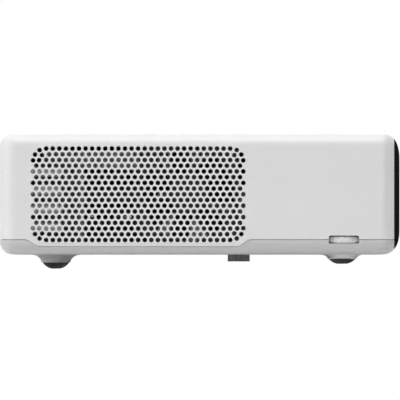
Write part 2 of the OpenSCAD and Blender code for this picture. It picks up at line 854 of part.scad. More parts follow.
module drive_cover() color("silver") {
    difference() {
        union() {
            box([drive_x[0], drive_y[0], drive_z[1]], [drive_x[1], drive_y[1], drive_z[1] + 0.7]);
            // the raised ring pressed round the hub
            rod_z(spindle, 40, drive_z[1] + 0.6, drive_z[1] + 1.4);
            box([drive_x[0] + 6, 60, drive_z[1] + 0.6], [drive_x[0] + 12, 150, drive_z[1] + 1.4]);
            box([drive_x[1] - 12, 60, drive_z[1] + 0.6], [drive_x[1] - 6, 150, drive_z[1] + 1.4]);
        }
        rod_z(spindle, 34, drive_z[1] + 0.7, drive_z[1] + 2);
        rod_z(spindle, 8, drive_z[1] - 1, drive_z[1] + 2);
    }
}

module tray_rails() color("silver") {
    for (x = [drive_x[0] + sheet + 0.3, drive_x[1] - sheet - 0.3 - rail_t])
        box([x, rail_y[0], rail_z[0]], [x + rail_t, rail_y[1], rail_z[1]]);
}

tray_side = rail_t + 0.6;
hub_hole_r = 15;

module disc_tray() color("dimgray") {
    wide = [drive_x[0] + sheet + 0.4, drive_x[1] - sheet - 0.4];
    narrow = [wide[0] + tray_side + 0.1, wide[1] - tray_side - 0.1];
    difference() {
        union() {
            box([wide[0], tray_y[0], tray_under - 0.2], [wide[1], tray_y[1], tray_top]);
            box([narrow[0], tray_y[0], tray_z0], [narrow[1], tray_y[1], tray_under]);
        }
        // the disc's recess, with a finger notch on each side of the mouth
        rod_z(spindle, disc_d / 2, tray_floor, tray_top + 1);
        for (x = [-1, 1]) rod_z([disc_x + x * 43, tray_y[1] - 14], 14, tray_floor, tray_top + 1);
        // the space under the floor
        box([narrow[0] + 1.6, tray_y[0] + 1.6, tray_z0 - 1],
            [narrow[1] - 1.6, tray_y[1] - 3, tray_under]);
        rod_z(spindle, hub_hole_r, tray_z0, tray_top);
        box([disc_x - 19, 46, tray_z0], [disc_x + 19, disc_y, tray_top]);
    }
    // the plate that carries the spindle motor and the ends of the rods
    box([disc_x - 26, disc_y - 8, tray_z0], [disc_x + 26, disc_y + 14, tray_z0 + 0.8]);
    for (y = [disc_y - 8, 43.6 - eps]) difference() {
        box([disc_x - 26, y, tray_z0], [disc_x + 26, y + 2.4, tray_z0 + 4.6 + eps]);
        box([disc_x - 18, y - 1, tray_z0 + 0.8], [disc_x + 18, y + 4, tray_z0 + 6]);
        for (x = rod_xs) rod_y([x, rod_z_at], rod_r, y - 1, y + 4);
    }
}

rod_r = 1.25;
rod_z_at = 73.9;
rod_xs = [disc_x - 22, disc_x + 22];
screw_at = [disc_x + 15, 73.7];

module tray_bezel() color("white") {
    translate([0, half_w, 0]) rotate([90, 0, 0]) linear_extrude(half_w - tray_y[1])
        round_rect(bezel_low, bezel_high, 1);
}

module spindle_motor() color("silver") {
    difference() {
        rod_z(spindle, 10.5, tray_z0 + 0.8, 75.4);
        rod_z(spindle, shaft_r + run, 73.2, 76);
    }
}

shaft_r = 2;

module turntable() color("black") {
    rod_z(spindle, 13.5, 76.3, 77.9);
    rod_z(spindle, 7.4, 77.8, 80.4);
    rod_z(spindle, shaft_r, 73.5, 76.4);
    difference() {
        rod_z(spindle, 13.5, 77.8, 78.4);
        rod_z(spindle, 10.5, 77.7, 79);
    }
    // the three sprung balls that hold a disc on the hub
    for (turn = [0, 120, 240]) translate([spindle[0], spindle[1], 79]) rotate(turn)
        translate([7, 0, 0]) sphere(r = 1.1, $fn = 24);
}

sled_y = [75.3, 91.3];
lens_r = 2.4;
sled_z = [72.2, 75.7];

module pickup_sled() color("dimgray") {
    difference() {
        union() {
            box([disc_x - 25.5, sled_y[0], sled_z[0]], [disc_x + 25.5, sled_y[1], sled_z[1]]);
            rod_z([disc_x, sled_y[0] + 5], 4.6, sled_z[1] - 0.2, 76.6);
            rod_z([disc_x, sled_y[0] + 5], lens_r, 76.5, 77.2);
        }
        for (x = rod_xs) rod_y([x, rod_z_at], rod_r + run, sled_y[0] - 1, sled_y[1] + 1);
        rod_y(screw_at, 1.8, sled_y[0] - 1, sled_y[1] + 1);
    }
}

module guide_rods() color("silver") {
    for (x = rod_xs) rod_y([x, rod_z_at], rod_r - 0.01, 43.6, disc_y - 5.6);
}

module lead_screw() color("silver") {
    rod_y(screw_at, 1.4, 46.5, disc_y - 14);
    rod_y(screw_at, 0.8, 46, disc_y - 10);
}

// ---- inside ----
module main_board() color("darkgreen") {
    difference() {
        box([rear_x + 6, -94, board_z], [30, 34, board_z + board_t]);
        for (x = board_holes[0], y = board_holes[1])
            rod_z([x, y], 1.6, board_z - 1, board_z + board_t + 1);
    }
    for (c = [[-70, -60, 18], [-30, -20, 14], [-84, 0, 11], [0, -62, 9]])
        box([c[0] - c[2], c[1] - c[2], board_z + 1.5], [c[0] + c[2], c[1] + c[2], board_z + 4]);
    for (i = [0:5]) rod_z([-110 + 9 * i, 24], 3, board_z + 1.5, board_z + 9);
}

power_z = 19;

module power_board() color("peru") {
    top = power_z + board_t - 0.1;
    box([-122, 56, power_z], [-6, 154, power_z + board_t]);
    for (i = [0:2]) rod_z([-20, 70 + 22 * i], 9, top, top + 32);
    box([-74, 92, top], [-40, 128, top + 26]);
    box([-110, 64, top], [-82, 84, top + 22]);
    for (i = [0:4]) box([-108 + 5 * i, 96, top], [-106 + 5 * i, 146, top + 28]);
    for (x = [-116, -12], y = [68, 149]) rod_z([x, y], 3.2, floor_z, power_z + eps);
}

module optical_engine() color("gray") {
    difference() {
        union() {
            box([-30, -76, 18], [38.8, 8, 56]);
            box([4, lens_y - 32, 18], [39, lens_y + 32, 58]);
            box([-30, -132, 18], [8, -70, 52]);
            for (x = [-20, -8, 4, 16]) box([x - 1, -78, 18], [x + 1, 10, 57.5]);
            for (y = [-124, -108, -92]) box([-29, y - 1, 20], [10, y + 1, 54]);
        }
        rod_x([lens_y, lens_z], 16, 20, 45);
        for (x = [-14, -2, 10]) box([x - 3.5, -66, 50], [x + 3.5, -12, 60]);
    }
    for (x = [-24, 32], y = [-70, 2]) rod_z([x, y], 3.5, floor_z, 18 + eps);
}

lamp_at = [-93, 37];

module lamp_holder() color("dimgray") {
    difference() {
        union() {
            box([-86, -116, 17.5], [-40, -70, 58]);
            rod_x(lamp_at, 18, -41, -30);
        }
        box([-83, -113, 16], [-43, -73, 54]);
        rod_x(lamp_at, 14, -44, -29);
        for (z = [26, 34, 42]) box([-80, -120, z], [-48, -66, z + 4]);
    }
}

// A parabola turned round the lamp's axis, with the arc tube in its neck
function parabola(r0) = [for (i = [0:arc_steps]) let (x = 30 * i / arc_steps)
    [r0 + 2.2 * sqrt(x), x]];

module lamp_reflector() color("lightgray") {
    outer = parabola(4);
    inner = parabola(2.6);
    translate([-73, lamp_at[0], lamp_at[1]]) rotate([0, 90, 0]) rotate_extrude()
        polygon(concat(outer, [for (i = [arc_steps:-1:0]) inner[i]]));
    rod_x(lamp_at, 3, -77, -58);
    rod_x(lamp_at, 4, -77, -72);
}

fan_at = [-8, 52];
fan_y = [-163, -143];
fan_half = 35;
fan_open_r = 33;
fan_hub_r = 14;
blade_count = 7;

module fan_frame() color("black") {
    difference() {
        box([fan_at[0] - fan_half, fan_y[0], fan_at[1] - fan_half],
            [fan_at[0] + fan_half, fan_y[1], fan_at[1] + fan_half]);
        difference() {
            rod_y(fan_at, fan_open_r, fan_y[0] - 1, fan_y[1] + 1);
            rod_y(fan_at, fan_hub_r, fan_y[1] - 3, fan_y[1] + 2);
            for (turn = [45:90:315]) translate([fan_at[0], fan_y[1] - 3, fan_at[1]])
                rotate([0, turn, 0]) translate([0, 0, -1.5]) cube([fan_open_r + 1, 4, 3]);
        }
        for (x = [-1, 1], z = [-1, 1])
            rod_y(fan_at + 30.5 * [x, z], 2.15, fan_y[0] - 1, fan_y[1] + 1);
    }
}

module fan_rotor() color("black") {
    rod_y(fan_at, fan_hub_r, fan_y[0] + 1, fan_y[1] - 3.4);
    intersection() {
        difference() {
            rod_y(fan_at, fan_open_r - 1, fan_y[0] + 1.5, fan_y[1] - 4);
            rod_y(fan_at, fan_hub_r - 1, fan_y[0], fan_y[1]);
        }
        union() for (i = [0:blade_count - 1])
            translate([fan_at[0], (fan_y[0] + fan_y[1]) / 2 - 1, fan_at[1]])
                rotate([0, 360 * i / blade_count, 0]) rotate([38, 0, 0])
                    translate([fan_hub_r - 2, -16, -0.7]) cube([fan_open_r, 32, 1.4]);
    }
}

sink_x = [-119.5, -96.5];
sink_y = [-163, -133];
sink_top = 75;
sink_upright = [-85, -80.5];
sink_plate = 4;
fin_count = 4;
fin_z = 26.5;
fin_t = 5;
fin_pitch = 13;

// A plate on the floor of the case with thick fins and one upright rib towards the grille
module heat_sink() color("silver") {
    plate_y = sink_y[1] - sink_plate;
    box([sink_x[0], plate_y, floor_z], [sink_upright[1], sink_y[1], sink_top]);
    box([sink_upright[0], sink_y[0], floor_z], [sink_upright[1], plate_y + 1, sink_top]);
    for (i = [0:fin_count - 1]) let (z = fin_z + fin_pitch * i)
        box([sink_x[0], sink_y[0], z], [sink_x[1], plate_y + 1, z + fin_t]);
}

module speakers() color("dimgray") {
    mirrored_y() {
        difference() {
            box([rear_x + wall, speaker_y - speaker_half, speaker_z - speaker_half],
                [rear_x + wall + 2.5, speaker_y + speaker_half, speaker_z + speaker_half]);
            rod_x([speaker_y, speaker_z], speaker_half - 2, rear_x, rear_x + 20);
        }
        translate([rear_x + wall, speaker_y, speaker_z]) rotate([0, 90, 0]) rotate_extrude()
            polygon([[0, 6], [4.5, 6], [6, 8], [13.5, 1], [15.2, 1], [15.2, 2.5], [8, 10],
                [11, 10], [11, 16], [0, 16]]);
    }
}

// ---- rear ----
plate_x = rear_x + 1;
plate_back = rear_x + wall + 1.2;
hdmi_at = [-48, 55];
vga_at = [-16, 55];
usb_at = [-48, 38];
av_ys = [16, 30, 44];
av_zs = [55, 38];
audio_ys = [-23, -9];
audio_z = 38;
rca_r = 4.1;
jack_r = 3;
inlet_size = [28, 20];

module d_outline(at, half, d) {
    polygon([at + [-half[0] - d, half[1] + d], at + [half[0] + d, half[1] + d],
        at + [half[0] - 1.6 + d, -half[1] - d], at + [1.6 - half[0] - d, -half[1] - d]]);
}

module socket_cutouts() {
    d_outline(hdmi_at, [7.4, 2.9], 0.3);
    d_outline(vga_at, [9.2, 4.6], 0.3);
    translate(usb_at) square([13.6, 6.2], center = true);
    translate(inlet_at) square(inlet_size + [0.4, 0.4], center = true);
    for (y = av_ys, z = av_zs) translate([y, z]) circle(r = rca_r + 0.15);
    for (y = audio_ys) translate([y, audio_z]) circle(r = jack_r + 0.15);
}

// The socket plate fills the rear window, with a flange behind the case's wall
module rear_panel() color("lightgray") {
    along_x(plate_x, rear_x + wall) difference() {
        round_rect(rear_window[0] + [0.2, 0.2], rear_window[1] - [0.2, 0.2], 3.8);
        socket_cutouts();
    }
    along_x(rear_x + wall, plate_back) difference() {
        round_rect(rear_window[0] - [2, 2], rear_window[1] + [2, 2], 5);
        socket_cutouts();
    }
}

// An appliance inlet: a shroud with one bevelled side round three flat pins
module power_inlet() color("black") {
    difference() {
        union() {
            along_x(rear_x + 0.2, rear_x + 22) translate(inlet_at)
                square(inlet_size, center = true);
            along_x(rear_x + 0.2, plate_x) translate(inlet_at)
                square(inlet_size + [3, 3], center = true);
        }
        along_x(rear_x - 1, rear_x + 18)
            polygon([inlet_at + [-12.2, -8.2], inlet_at + [12.2, -8.2], inlet_at + [12.2, 4],
                inlet_at + [8, 8.2], inlet_at + [-8, 8.2], inlet_at + [-12.2, 4]]);
    }
    for (p = [[-7, -2], [7, -2], [0, 2.4]])
        box([rear_x + 6, inlet_at[0] + p[0] - 1, inlet_at[1] + p[1] - 2],
            [rear_x + 19, inlet_at[0] + p[0] + 1, inlet_at[1] + p[1] + 2]);
}

// The body of a socket, which stands between the plate and the board above it
module socket_body(y, half, low_z) {
    box([plate_back, y - half, low_z], [plate_back + 10, y + half, board_z]);
}

module signal_sockets() color("silver") {
    // digital video over the flat data socket
    difference() {
        union() {
            along_x(rear_x + 0.6, plate_back + eps) d_outline(hdmi_at, [7.4, 2.9], 0);
            along_x(rear_x + 0.6, plate_back + eps) translate(usb_at)
                square([13.2, 5.8], center = true);
            socket_body(hdmi_at[0], 8, usb_at[1] - 4);
        }
        along_x(rear_x - 1, rear_x + 11) d_outline(hdmi_at, [6.9, 2.35], 0);
        along_x(rear_x - 1, rear_x + 12) translate(usb_at) square([12.4, 5], center = true);
    }
    box([rear_x + 2, hdmi_at[0] - 4.6, hdmi_at[1] - 0.4],
        [rear_x + 12, hdmi_at[0] + 4.6, hdmi_at[1] + 0.5]);
    box([rear_x + 2, usb_at[0] - 5.6, usb_at[1] + 0.4],
        [rear_x + 12.5, usb_at[0] + 5.6, usb_at[1] + 2]);
    // computer video over two sound jacks
    difference() {
        union() {
            along_x(rear_x + 0.4, plate_back + eps) d_outline(vga_at, [9.2, 4.6], 0);
            for (y = audio_ys) rod_x([y, audio_z], jack_r, rear_x + 0.4, plate_back + eps);
            socket_body(vga_at[0], 12, audio_z - 5);
        }
        for (row = [-1:1], col = [-2:2])
            rod_x(vga_at + [col * 2.6 + row * 0.6, row * 2.4], 0.5, rear_x - 1, rear_x + 5);
        for (y = audio_ys) rod_x([y, audio_z], 1.8, rear_x - 1, rear_x + 12);
    }
    // three columns of round picture and sound jacks
    for (y = av_ys) difference() {
        union() {
            for (z = av_zs) rod_x([y, z], rca_r, rear_x, plate_back + eps);
            socket_body(y, 5, av_zs[1] - 6);
        }
        for (z = av_zs) {
            rod_x([y, z], 3.3, rear_x - 1, rear_x + 1.6);
            rod_x([y, z], 1.6, rear_x - 1, rear_x + 12);
        }
    }
}

upper_case();
side_grille();
lower_case();
front_bezel();
front_panel();
rear_panel();
lamp_cover();
case_screws();
mount_inserts();
rear_feet();
right_thumbwheel();
left_thumbwheel();
right_foot_stem();
left_foot_stem();
right_foot_pad();
left_foot_pad();
lens_barrel();
lens_surround();
focus_ring();
zoom_ring();
focus_cell();
front_lens();
zoom_cell();
zoom_lens();
ring_well();
ir_window();
power_button();
source_button();
menu_button();
enter_button();
up_button();
down_button();
left_button();
right_button();
play_button();
stop_button();
eject_button();
status_lights();
keypad_board();
drive_chassis();
drive_cover();
tray_rails();
disc_tray();
tray_bezel();
spindle_motor();
turntable();
pickup_sled();
guide_rods();
lead_screw();
main_board();
power_board();
optical_engine();
lamp_holder();
lamp_reflector();
fan_frame();
fan_rotor();
heat_sink();
speakers();
power_inlet();
signal_sockets();
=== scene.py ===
"""Looks for a low box shaped projector with a disc tray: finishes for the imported
nodes, smooth moulded skins round the case, a plain floor, soft light, a camera."""

import json
import math

import bpy
import numpy as np
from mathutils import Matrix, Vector
from mathutils.geometry import delaunay_2d_cdt


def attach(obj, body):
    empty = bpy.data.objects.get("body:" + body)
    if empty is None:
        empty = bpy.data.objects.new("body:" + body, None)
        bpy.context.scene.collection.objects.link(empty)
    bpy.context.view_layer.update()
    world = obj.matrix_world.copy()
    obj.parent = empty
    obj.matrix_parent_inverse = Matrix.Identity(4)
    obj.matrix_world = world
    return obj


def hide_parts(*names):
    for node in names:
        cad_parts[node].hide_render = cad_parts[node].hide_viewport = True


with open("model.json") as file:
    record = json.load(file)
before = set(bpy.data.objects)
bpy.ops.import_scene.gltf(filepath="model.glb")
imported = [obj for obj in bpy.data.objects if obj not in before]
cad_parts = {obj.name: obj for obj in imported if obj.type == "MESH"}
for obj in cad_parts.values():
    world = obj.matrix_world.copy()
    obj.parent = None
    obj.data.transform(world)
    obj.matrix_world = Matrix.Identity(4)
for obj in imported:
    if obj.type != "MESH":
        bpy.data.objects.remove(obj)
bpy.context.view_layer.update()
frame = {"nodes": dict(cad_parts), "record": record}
MM = 0.001


# ---- finishes ----


def fill(node, values):
    """Sets a node's inputs, each by its name or number."""
    for key, value in values.items():
        node.inputs[key].default_value = value


def new_node(tree, kind, values=None, feeds=None):
    """A new node with some inputs set and others fed by other nodes' outputs."""
    node = tree.nodes.new(kind)
    fill(node, values or {})
    for key, source in (feeds or {}).items():
        tree.links.new(source, node.inputs[key])
    return node


def tree_of(name):
    """A new material with its node tree and its shader."""
    made = bpy.data.materials.new(name)
    made.use_nodes = True
    return made, made.node_tree, made.node_tree.nodes["Principled BSDF"]


def noise(tree, place, scale, detail=3.0, stretch=None):
    """Noise at so many waves a metre, drawn out along an axis where stretch says."""
    if stretch:
        turn = new_node(tree, "ShaderNodeMapping", {"Scale": stretch}, {"Vector": place})
        place = turn.outputs["Vector"]
    wave = new_node(tree, "ShaderNodeTexNoise", {"Scale": scale, "Detail": detail},
                    {"Vector": place})
    return wave.outputs["Fac"]


NOISE_SPAN = (0.3, 0.7)
LEAST_ROUGH, COAT_ROUGH, PATCHES = 0.02, 0.06, 4


def between(tree, fac, low, high):
    """Carries noise, which mostly lies in NOISE_SPAN, onto the span from low to high."""
    span = new_node(tree, "ShaderNodeMapRange",
                    {"From Min": NOISE_SPAN[0], "From Max": NOISE_SPAN[1], "To Min": low,
                     "To Max": high}, {"Value": fac})
    return span.outputs["Result"]


def blend_of(tree, fac, dark, light):
    """A colour part way between two, by fac."""
    mix = tree.nodes.new("ShaderNodeMix")
    mix.data_type = "RGBA"
    mix.inputs["A"].default_value = (*dark, 1)
    mix.inputs["B"].default_value = (*light, 1)
    tree.links.new(fac, mix.inputs["Factor"])
    return mix.outputs["Result"]


def finish_of(name, colour, rough, spread=0.04, drift=0.03, grain=2600, bump=0.06, depth=0.00004,
              metal=0.0, specular=0.5, coat=0.0, stretch=None, mottle=45, clear=0.0):
    """A finish: its colour drifts slowly, its roughness varies in patches, and a fine grain
    raises its skin."""
    made, tree, shader = tree_of(name)
    place = tree.nodes.new("ShaderNodeTexCoord").outputs["Object"]
    slow = noise(tree, place, mottle)
    dark = tuple(c * (1 - drift) for c in colour)
    light = tuple(min(1.0, c * (1 + drift)) for c in colour)
    tree.links.new(blend_of(tree, slow, dark, light), shader.inputs["Base Color"])
    patch = noise(tree, place, mottle * PATCHES, stretch=stretch)
    tree.links.new(between(tree, patch, max(LEAST_ROUGH, rough - spread), rough + spread),
                   shader.inputs["Roughness"])
    skin = new_node(tree, "ShaderNodeBump", {"Strength": bump, "Distance": depth},
                    {"Height": noise(tree, place, grain, 2.0, stretch)})
    tree.links.new(skin.outputs["Normal"], shader.inputs["Normal"])
    fill(shader, {"Metallic": metal, "Specular IOR Level": specular, "Coat Weight": coat,
                  "Coat Roughness": COAT_ROUGH, "Transmission Weight": clear})
    return made


def grey(level, warm=0.0):
    """A neutral shade, warmed by a little more red than blue."""
    return (level * (1 + warm), level, level * (1 - warm))


BRUSHED = (1.0, 14.0, 1.0)
MOULDED = dict(bump=0.10, grain=3200)
CAST = dict(grain=1500, bump=0.2)
# each finish's colour, roughness and what else differs from the defaults above
LOOKS = {
    "case_white": (grey(0.80), 0.42, MOULDED),
    # case_grey: darker than case_white, as painted shade on the lower case and on the bezel below the
    # parting line; the well trim and lamp door use it too
    "case_grey": (grey(0.60), 0.45, MOULDED),
    "gloss_black": (grey(0.008), 0.12, dict(spread=0.02, bump=0.02, specular=0.12)),
    "edge_black": (grey(0.014), 0.30, dict(spread=0.02, bump=0.02, specular=0.0)),
    # boss_white: lighter than case_grey, as painted light on the bosses and foot flares that lie in
    # shade under the case
    "boss_white": (grey(0.80), 0.42, MOULDED),
    # the heat sink: bright fins as painted light, and a darker plate and upright as painted shade
    # between them
    "fin_bright": (grey(0.88), 0.45, dict(metal=0.1, **CAST)),
    "sink_dark": (grey(0.30), 0.55, dict(bump=0.12)),
    "ir_red": ((0.05, 0.004, 0.008), 0.09, dict(spread=0.02, bump=0.02, coat=0.4)),
    "screw_steel": (grey(0.56, 0.01), 0.32, dict(metal=1.0)),
    "insert_brass": ((0.70, 0.50, 0.22), 0.30, dict(metal=1.0)),
    "foot_rubber": (grey(0.014), 0.62, dict(spread=0.10, drift=0.25, grain=1800, bump=0.25,
                                            depth=0.00008)),
    "lens_black": (grey(0.012), 0.38, dict(bump=0.10)),
    "barrel_grey": (grey(0.10), 0.40, dict(bump=0.10)),
    "ring_grey": (grey(0.07), 0.48, dict(bump=0.14)),
    "lens_glass": ((0.80, 0.90, 0.97), 0.02, dict(spread=0.01, bump=0.0, clear=1.0, coat=0.5)),
    "button_grey": (grey(0.52), 0.40, dict(bump=0.08)),
    "light_lens": ((0.16, 0.55, 0.22), 0.18, dict(bump=0.03, coat=0.5)),
    "board_green": ((0.02, 0.13, 0.05), 0.36, dict(drift=0.30, mottle=420)),
    "board_tan": ((0.40, 0.26, 0.12), 0.55, dict(drift=0.20, mottle=420)),
    "drive_steel": (grey(0.55), 0.30, dict(metal=1.0, stretch=BRUSHED)),
    "tray_plastic": (grey(0.035), 0.50, dict(bump=0.14)),
    "engine_metal": (grey(0.55), 0.42, dict(metal=1.0, **CAST)),
    "lamp_black": (grey(0.05), 0.60, dict(bump=0.12)),
    "reflector_glass": ((0.80, 0.82, 0.88), 0.08, dict(metal=1.0)),
    "fan_black": (grey(0.02), 0.45, dict(bump=0.10)),
    "socket_metal": (grey(0.60), 0.25, dict(metal=1.0, stretch=BRUSHED)),
}
finishes = {name: finish_of(name, colour, rough, **more)
            for name, (colour, rough, more) in LOOKS.items()}


def dress_nodes():
    """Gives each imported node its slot's finish."""
    slot_of = {row["node"]: row["material_slot"] for row in frame["record"]["subparts"]}
    for name, node in frame["nodes"].items():
        if not node.material_slots:
            node.data.materials.append(finishes[slot_of[name]])
        for slot in node.material_slots:
            slot.material = finishes[slot_of[name]]


dress_nodes()


# ---- the moulded skin of the case ----
REAR, NOSE, HALF_WIDTH = -140.0, 140.0, 170.0
UNDER, TOP, WALL = 10.0, 94.4, 2.5
EDGE_LOW, EDGE_HIGH, REAR_CORNER = 9.0, 8.5, 11.0
# the nose's rounds: their length along X, how far they come in, and their power
NOSE_SIDE, NOSE_TOP, NOSE_UNDER = (13.0, 18.0, 2.0), (11.0, 18.0, 2.3), (13.0, 17.0, 2.4)
REAR_SHRINK, NOSE_SHRINK = 0.9, 0.4
STRETCH_FROM = 70.0
BEZEL_X, PANEL_X = 130.4, 136.2
JOINT, NOSE_JOINT = 0.19, 0.03
SEAM, SEAM_DIP = 20.4, 15.4
DIPS = ((-122.7, -112.0), (25.7, 36.2))
WHEEL_WINDOW, WINDOW_CORNER = ((90.3, 17.2), (111.5, 23.2)), 1.2
ARC_STEPS = 12

# lengths along the unrolled section, from the near side's wall over the top to the far wall
LOW_ARC, HIGH_ARC = EDGE_LOW * np.pi / 2, EDGE_HIGH * np.pi / 2
V_LOW, V_HIGH = UNDER + EDGE_LOW, TOP - EDGE_HIGH
FLAT_TOP, FLAT_LOW = 2 * (HALF_WIDTH - EDGE_HIGH), 2 * (HALF_WIDTH - EDGE_LOW)
V_TOP = V_HIGH + HIGH_ARC
V_TOP_END = V_TOP + FLAT_TOP
V_FAR = V_TOP_END + HIGH_ARC
V_UNDER = V_LOW - LOW_ARC
V_UNDER_END = V_UNDER - FLAT_LOW
V_FAR_LOW = V_UNDER_END - LOW_ARC
REAR_ARC = REAR_CORNER * np.pi / 2
A_REAR = REAR + REAR_CORNER - REAR_ARC


def come_in(t, size, power=2.0):
    """How far a rounded end has come in, t of the way to its tip, where p is the power:
    size (1 - (1 - t^p)^(1/p)). It is a quarter ellipse at 2, and squarer above."""
    t = np.clip(t, 0, 1)
    return size * (1 - (1 - t ** power) ** (1 / power))


def station(a):
    """X at the length a along the side. Past the rear corner's start X follows its sine."""
    turn = np.clip((REAR + REAR_CORNER - a) / REAR_CORNER, 0, np.pi / 2)
    return np.where(a < REAR + REAR_CORNER, REAR + REAR_CORNER * (1 - np.sin(turn)), a)


def insets(x):
    """How far the section at x is drawn in at its sides, top and underside: by quarter ellipses
    towards the rear end, and by each round's own power towards the nose. The last value shrinks
    the section's own corners."""
    def at_nose(length, size, power):
        return come_in((x - NOSE + length) / length, size, power)
    side = come_in((REAR + REAR_CORNER - x) / REAR_CORNER, REAR_CORNER)
    rear = come_in((REAR + EDGE_LOW - x) / EDGE_LOW, EDGE_LOW)
    nose = at_nose(*NOSE_SIDE)
    shrink = (1 - REAR_SHRINK * side / REAR_CORNER) * (1 - NOSE_SHRINK * nose / NOSE_SIDE[1])
    return side + nose, rear + at_nose(*NOSE_TOP), rear + at_nose(*NOSE_UNDER), shrink


def bend(v, low, high, to_low, to_high):
    """Carries v from the span low..high straight on to to_low..to_high."""
    return to_low + (v - low) / (high - low) * (to_high - to_low)


def on_section(a, v):
    """The body's surface: a runs along X and v round the section, over straight walls and
    quarter circles, all drawn in together by the insets at that station."""
    x = station(a)
    side, top, under, shrink = insets(x)
    half = HALF_WIDTH - side
    rt, rb = EDGE_HIGH * shrink, EDGE_LOW * shrink
    zt, zb = TOP - top, UNDER + under

    def wall_z(w):
        """Height on a wall: as it is in the middle, stretched to meet the corners' ends."""
        low = bend(w, V_LOW, SEAM, zb + rb, SEAM)
        high = bend(w, STRETCH_FROM, V_HIGH, STRETCH_FROM, zt - rt)
        return np.where(w < SEAM, low, np.where(w > STRETCH_FROM, high, w))

    def corner(turn, r):
        return r * np.cos(turn), r * np.sin(turn)

    far_v = v > (V_TOP + V_TOP_END) / 2
    far_low = v < (V_UNDER + V_UNDER_END) / 2
    mirrored = far_v | far_low
    near = np.where(far_v, V_TOP + V_TOP_END - v, np.where(far_low, V_UNDER + V_UNDER_END - v, v))
    # near is now the same place on the near side
    up = np.clip((near - V_HIGH) / EDGE_HIGH, 0, np.pi / 2)
    down = np.clip((V_LOW - near) / EDGE_LOW, 0, np.pi / 2)
    cy, cz = corner(up, rt)
    y_up, z_up = -(half - rt) - cy, zt - rt + cz
    cy, cz = corner(down, rb)
    y_down, z_down = -(half - rb) - cy, zb + rb - cz
    y_top = bend(near, V_TOP, (V_TOP + V_TOP_END) / 2, -(half - rt), 0.0)
    y_low = bend(near, V_UNDER, (V_UNDER + V_UNDER_END) / 2, -(half - rb), 0.0)
    y = np.select([near > V_TOP, near > V_HIGH, near >= V_LOW, near >= V_UNDER],
                  [y_top, y_up, -half, y_down], y_low)
    z = np.select([near > V_TOP, near > V_HIGH, near >= V_LOW, near >= V_UNDER],
                  [zt, z_up, wall_z(near), z_down], zb)
    y = np.where(mirrored, -y, y)
    return np.stack([x + 0 * v, y, z], -1)


def normals_of(place, u, v):
    """Unit normals by the cross product of the surface's two small steps."""
    h = 0.02
    along = place(u + h, v) - place(u - h, v)
    across = place(u, v + h) - place(u, v - h)
    n = np.cross(along, across)
    return n / np.maximum(np.linalg.norm(n, axis=-1, keepdims=True), 1e-12)


def seam_height(x):
    """The parting line's height: level, an S down (3tt - 2ttt), level, an S up, level."""
    def smooth(span):
        t = np.clip((x - span[0]) / (span[1] - span[0]), 0, 1)
        return t * t * (3 - 2 * t)
    return SEAM + (SEAM_DIP - SEAM) * (smooth(DIPS[0]) - smooth(DIPS[1]))


def rounded(low, high, r, steps=5):
    """A rectangle with quarter circle corners, anticlockwise."""
    (x0, y0), (x1, y1) = low, high
    turns = np.linspace(0, np.pi / 2, steps + 1)
    spots = []
    for k, (cx, cy) in enumerate([(x1 - r, y0 + r), (x1 - r, y1 - r), (x0 + r, y1 - r),
                                  (x0 + r, y0 + r)]):
        t = turns + (k - 1) * np.pi / 2
        spots.append(np.stack([cx + r * np.cos(t), cy + r * np.sin(t)], -1))
    return np.concatenate(spots)


def full_turn(steps):
    """The turns of a full circle, evenly spaced."""
    return np.linspace(0, 2 * np.pi, steps + 1)[:-1]


def circle(centre, r, steps):
    """Points round a circle, anticlockwise."""
    t = full_turn(steps)
    return np.stack([centre[0] + r * np.cos(t), centre[1] + r * np.sin(t)], -1)


def at_height(loop, z):
    """A plan outline at one height."""
    return np.column_stack([loop, np.full(len(loop), z)])


def level_plan(z):
    """The flat plan at one height: u is X and v is Y."""
    return lambda u, v: np.stack([u, v, z + 0 * u], -1)


def upright_plan(x, way=1):
    """The flat plan across X, as seen from the front (1) or the back (-1): u is Y, v is Z."""
    return lambda u, v: np.stack([x + 0 * u, way * u, v], -1)


def inside(polygon, spots):
    """Which spots lie in a polygon: those with an odd number of edges to their right."""
    a, b = polygon, np.roll(polygon, -1, axis=0)
    odd = np.zeros(len(spots), bool)
    for (ax, ay), (bx, by) in zip(a, b):
        if ay == by:
            continue
        crosses = (ay > spots[:, 1]) != (by > spots[:, 1])
        odd ^= crosses & (spots[:, 0] < ax + (spots[:, 1] - ay) / (by - ay) * (bx - ax))
    return odd


def convex(loop):
    """Whether a loop never turns back: the cross products of its edges keep one sign."""
    edge = np.roll(loop, -1, axis=0) - loop
    after = np.roll(edge, -1, axis=0)
    turn = edge[:, 0] * after[:, 1] - edge[:, 1] * after[:, 0]
    return turn.min() > -1e-9 or turn.max() < 1e-9


GRID_CLEAR = 0.7


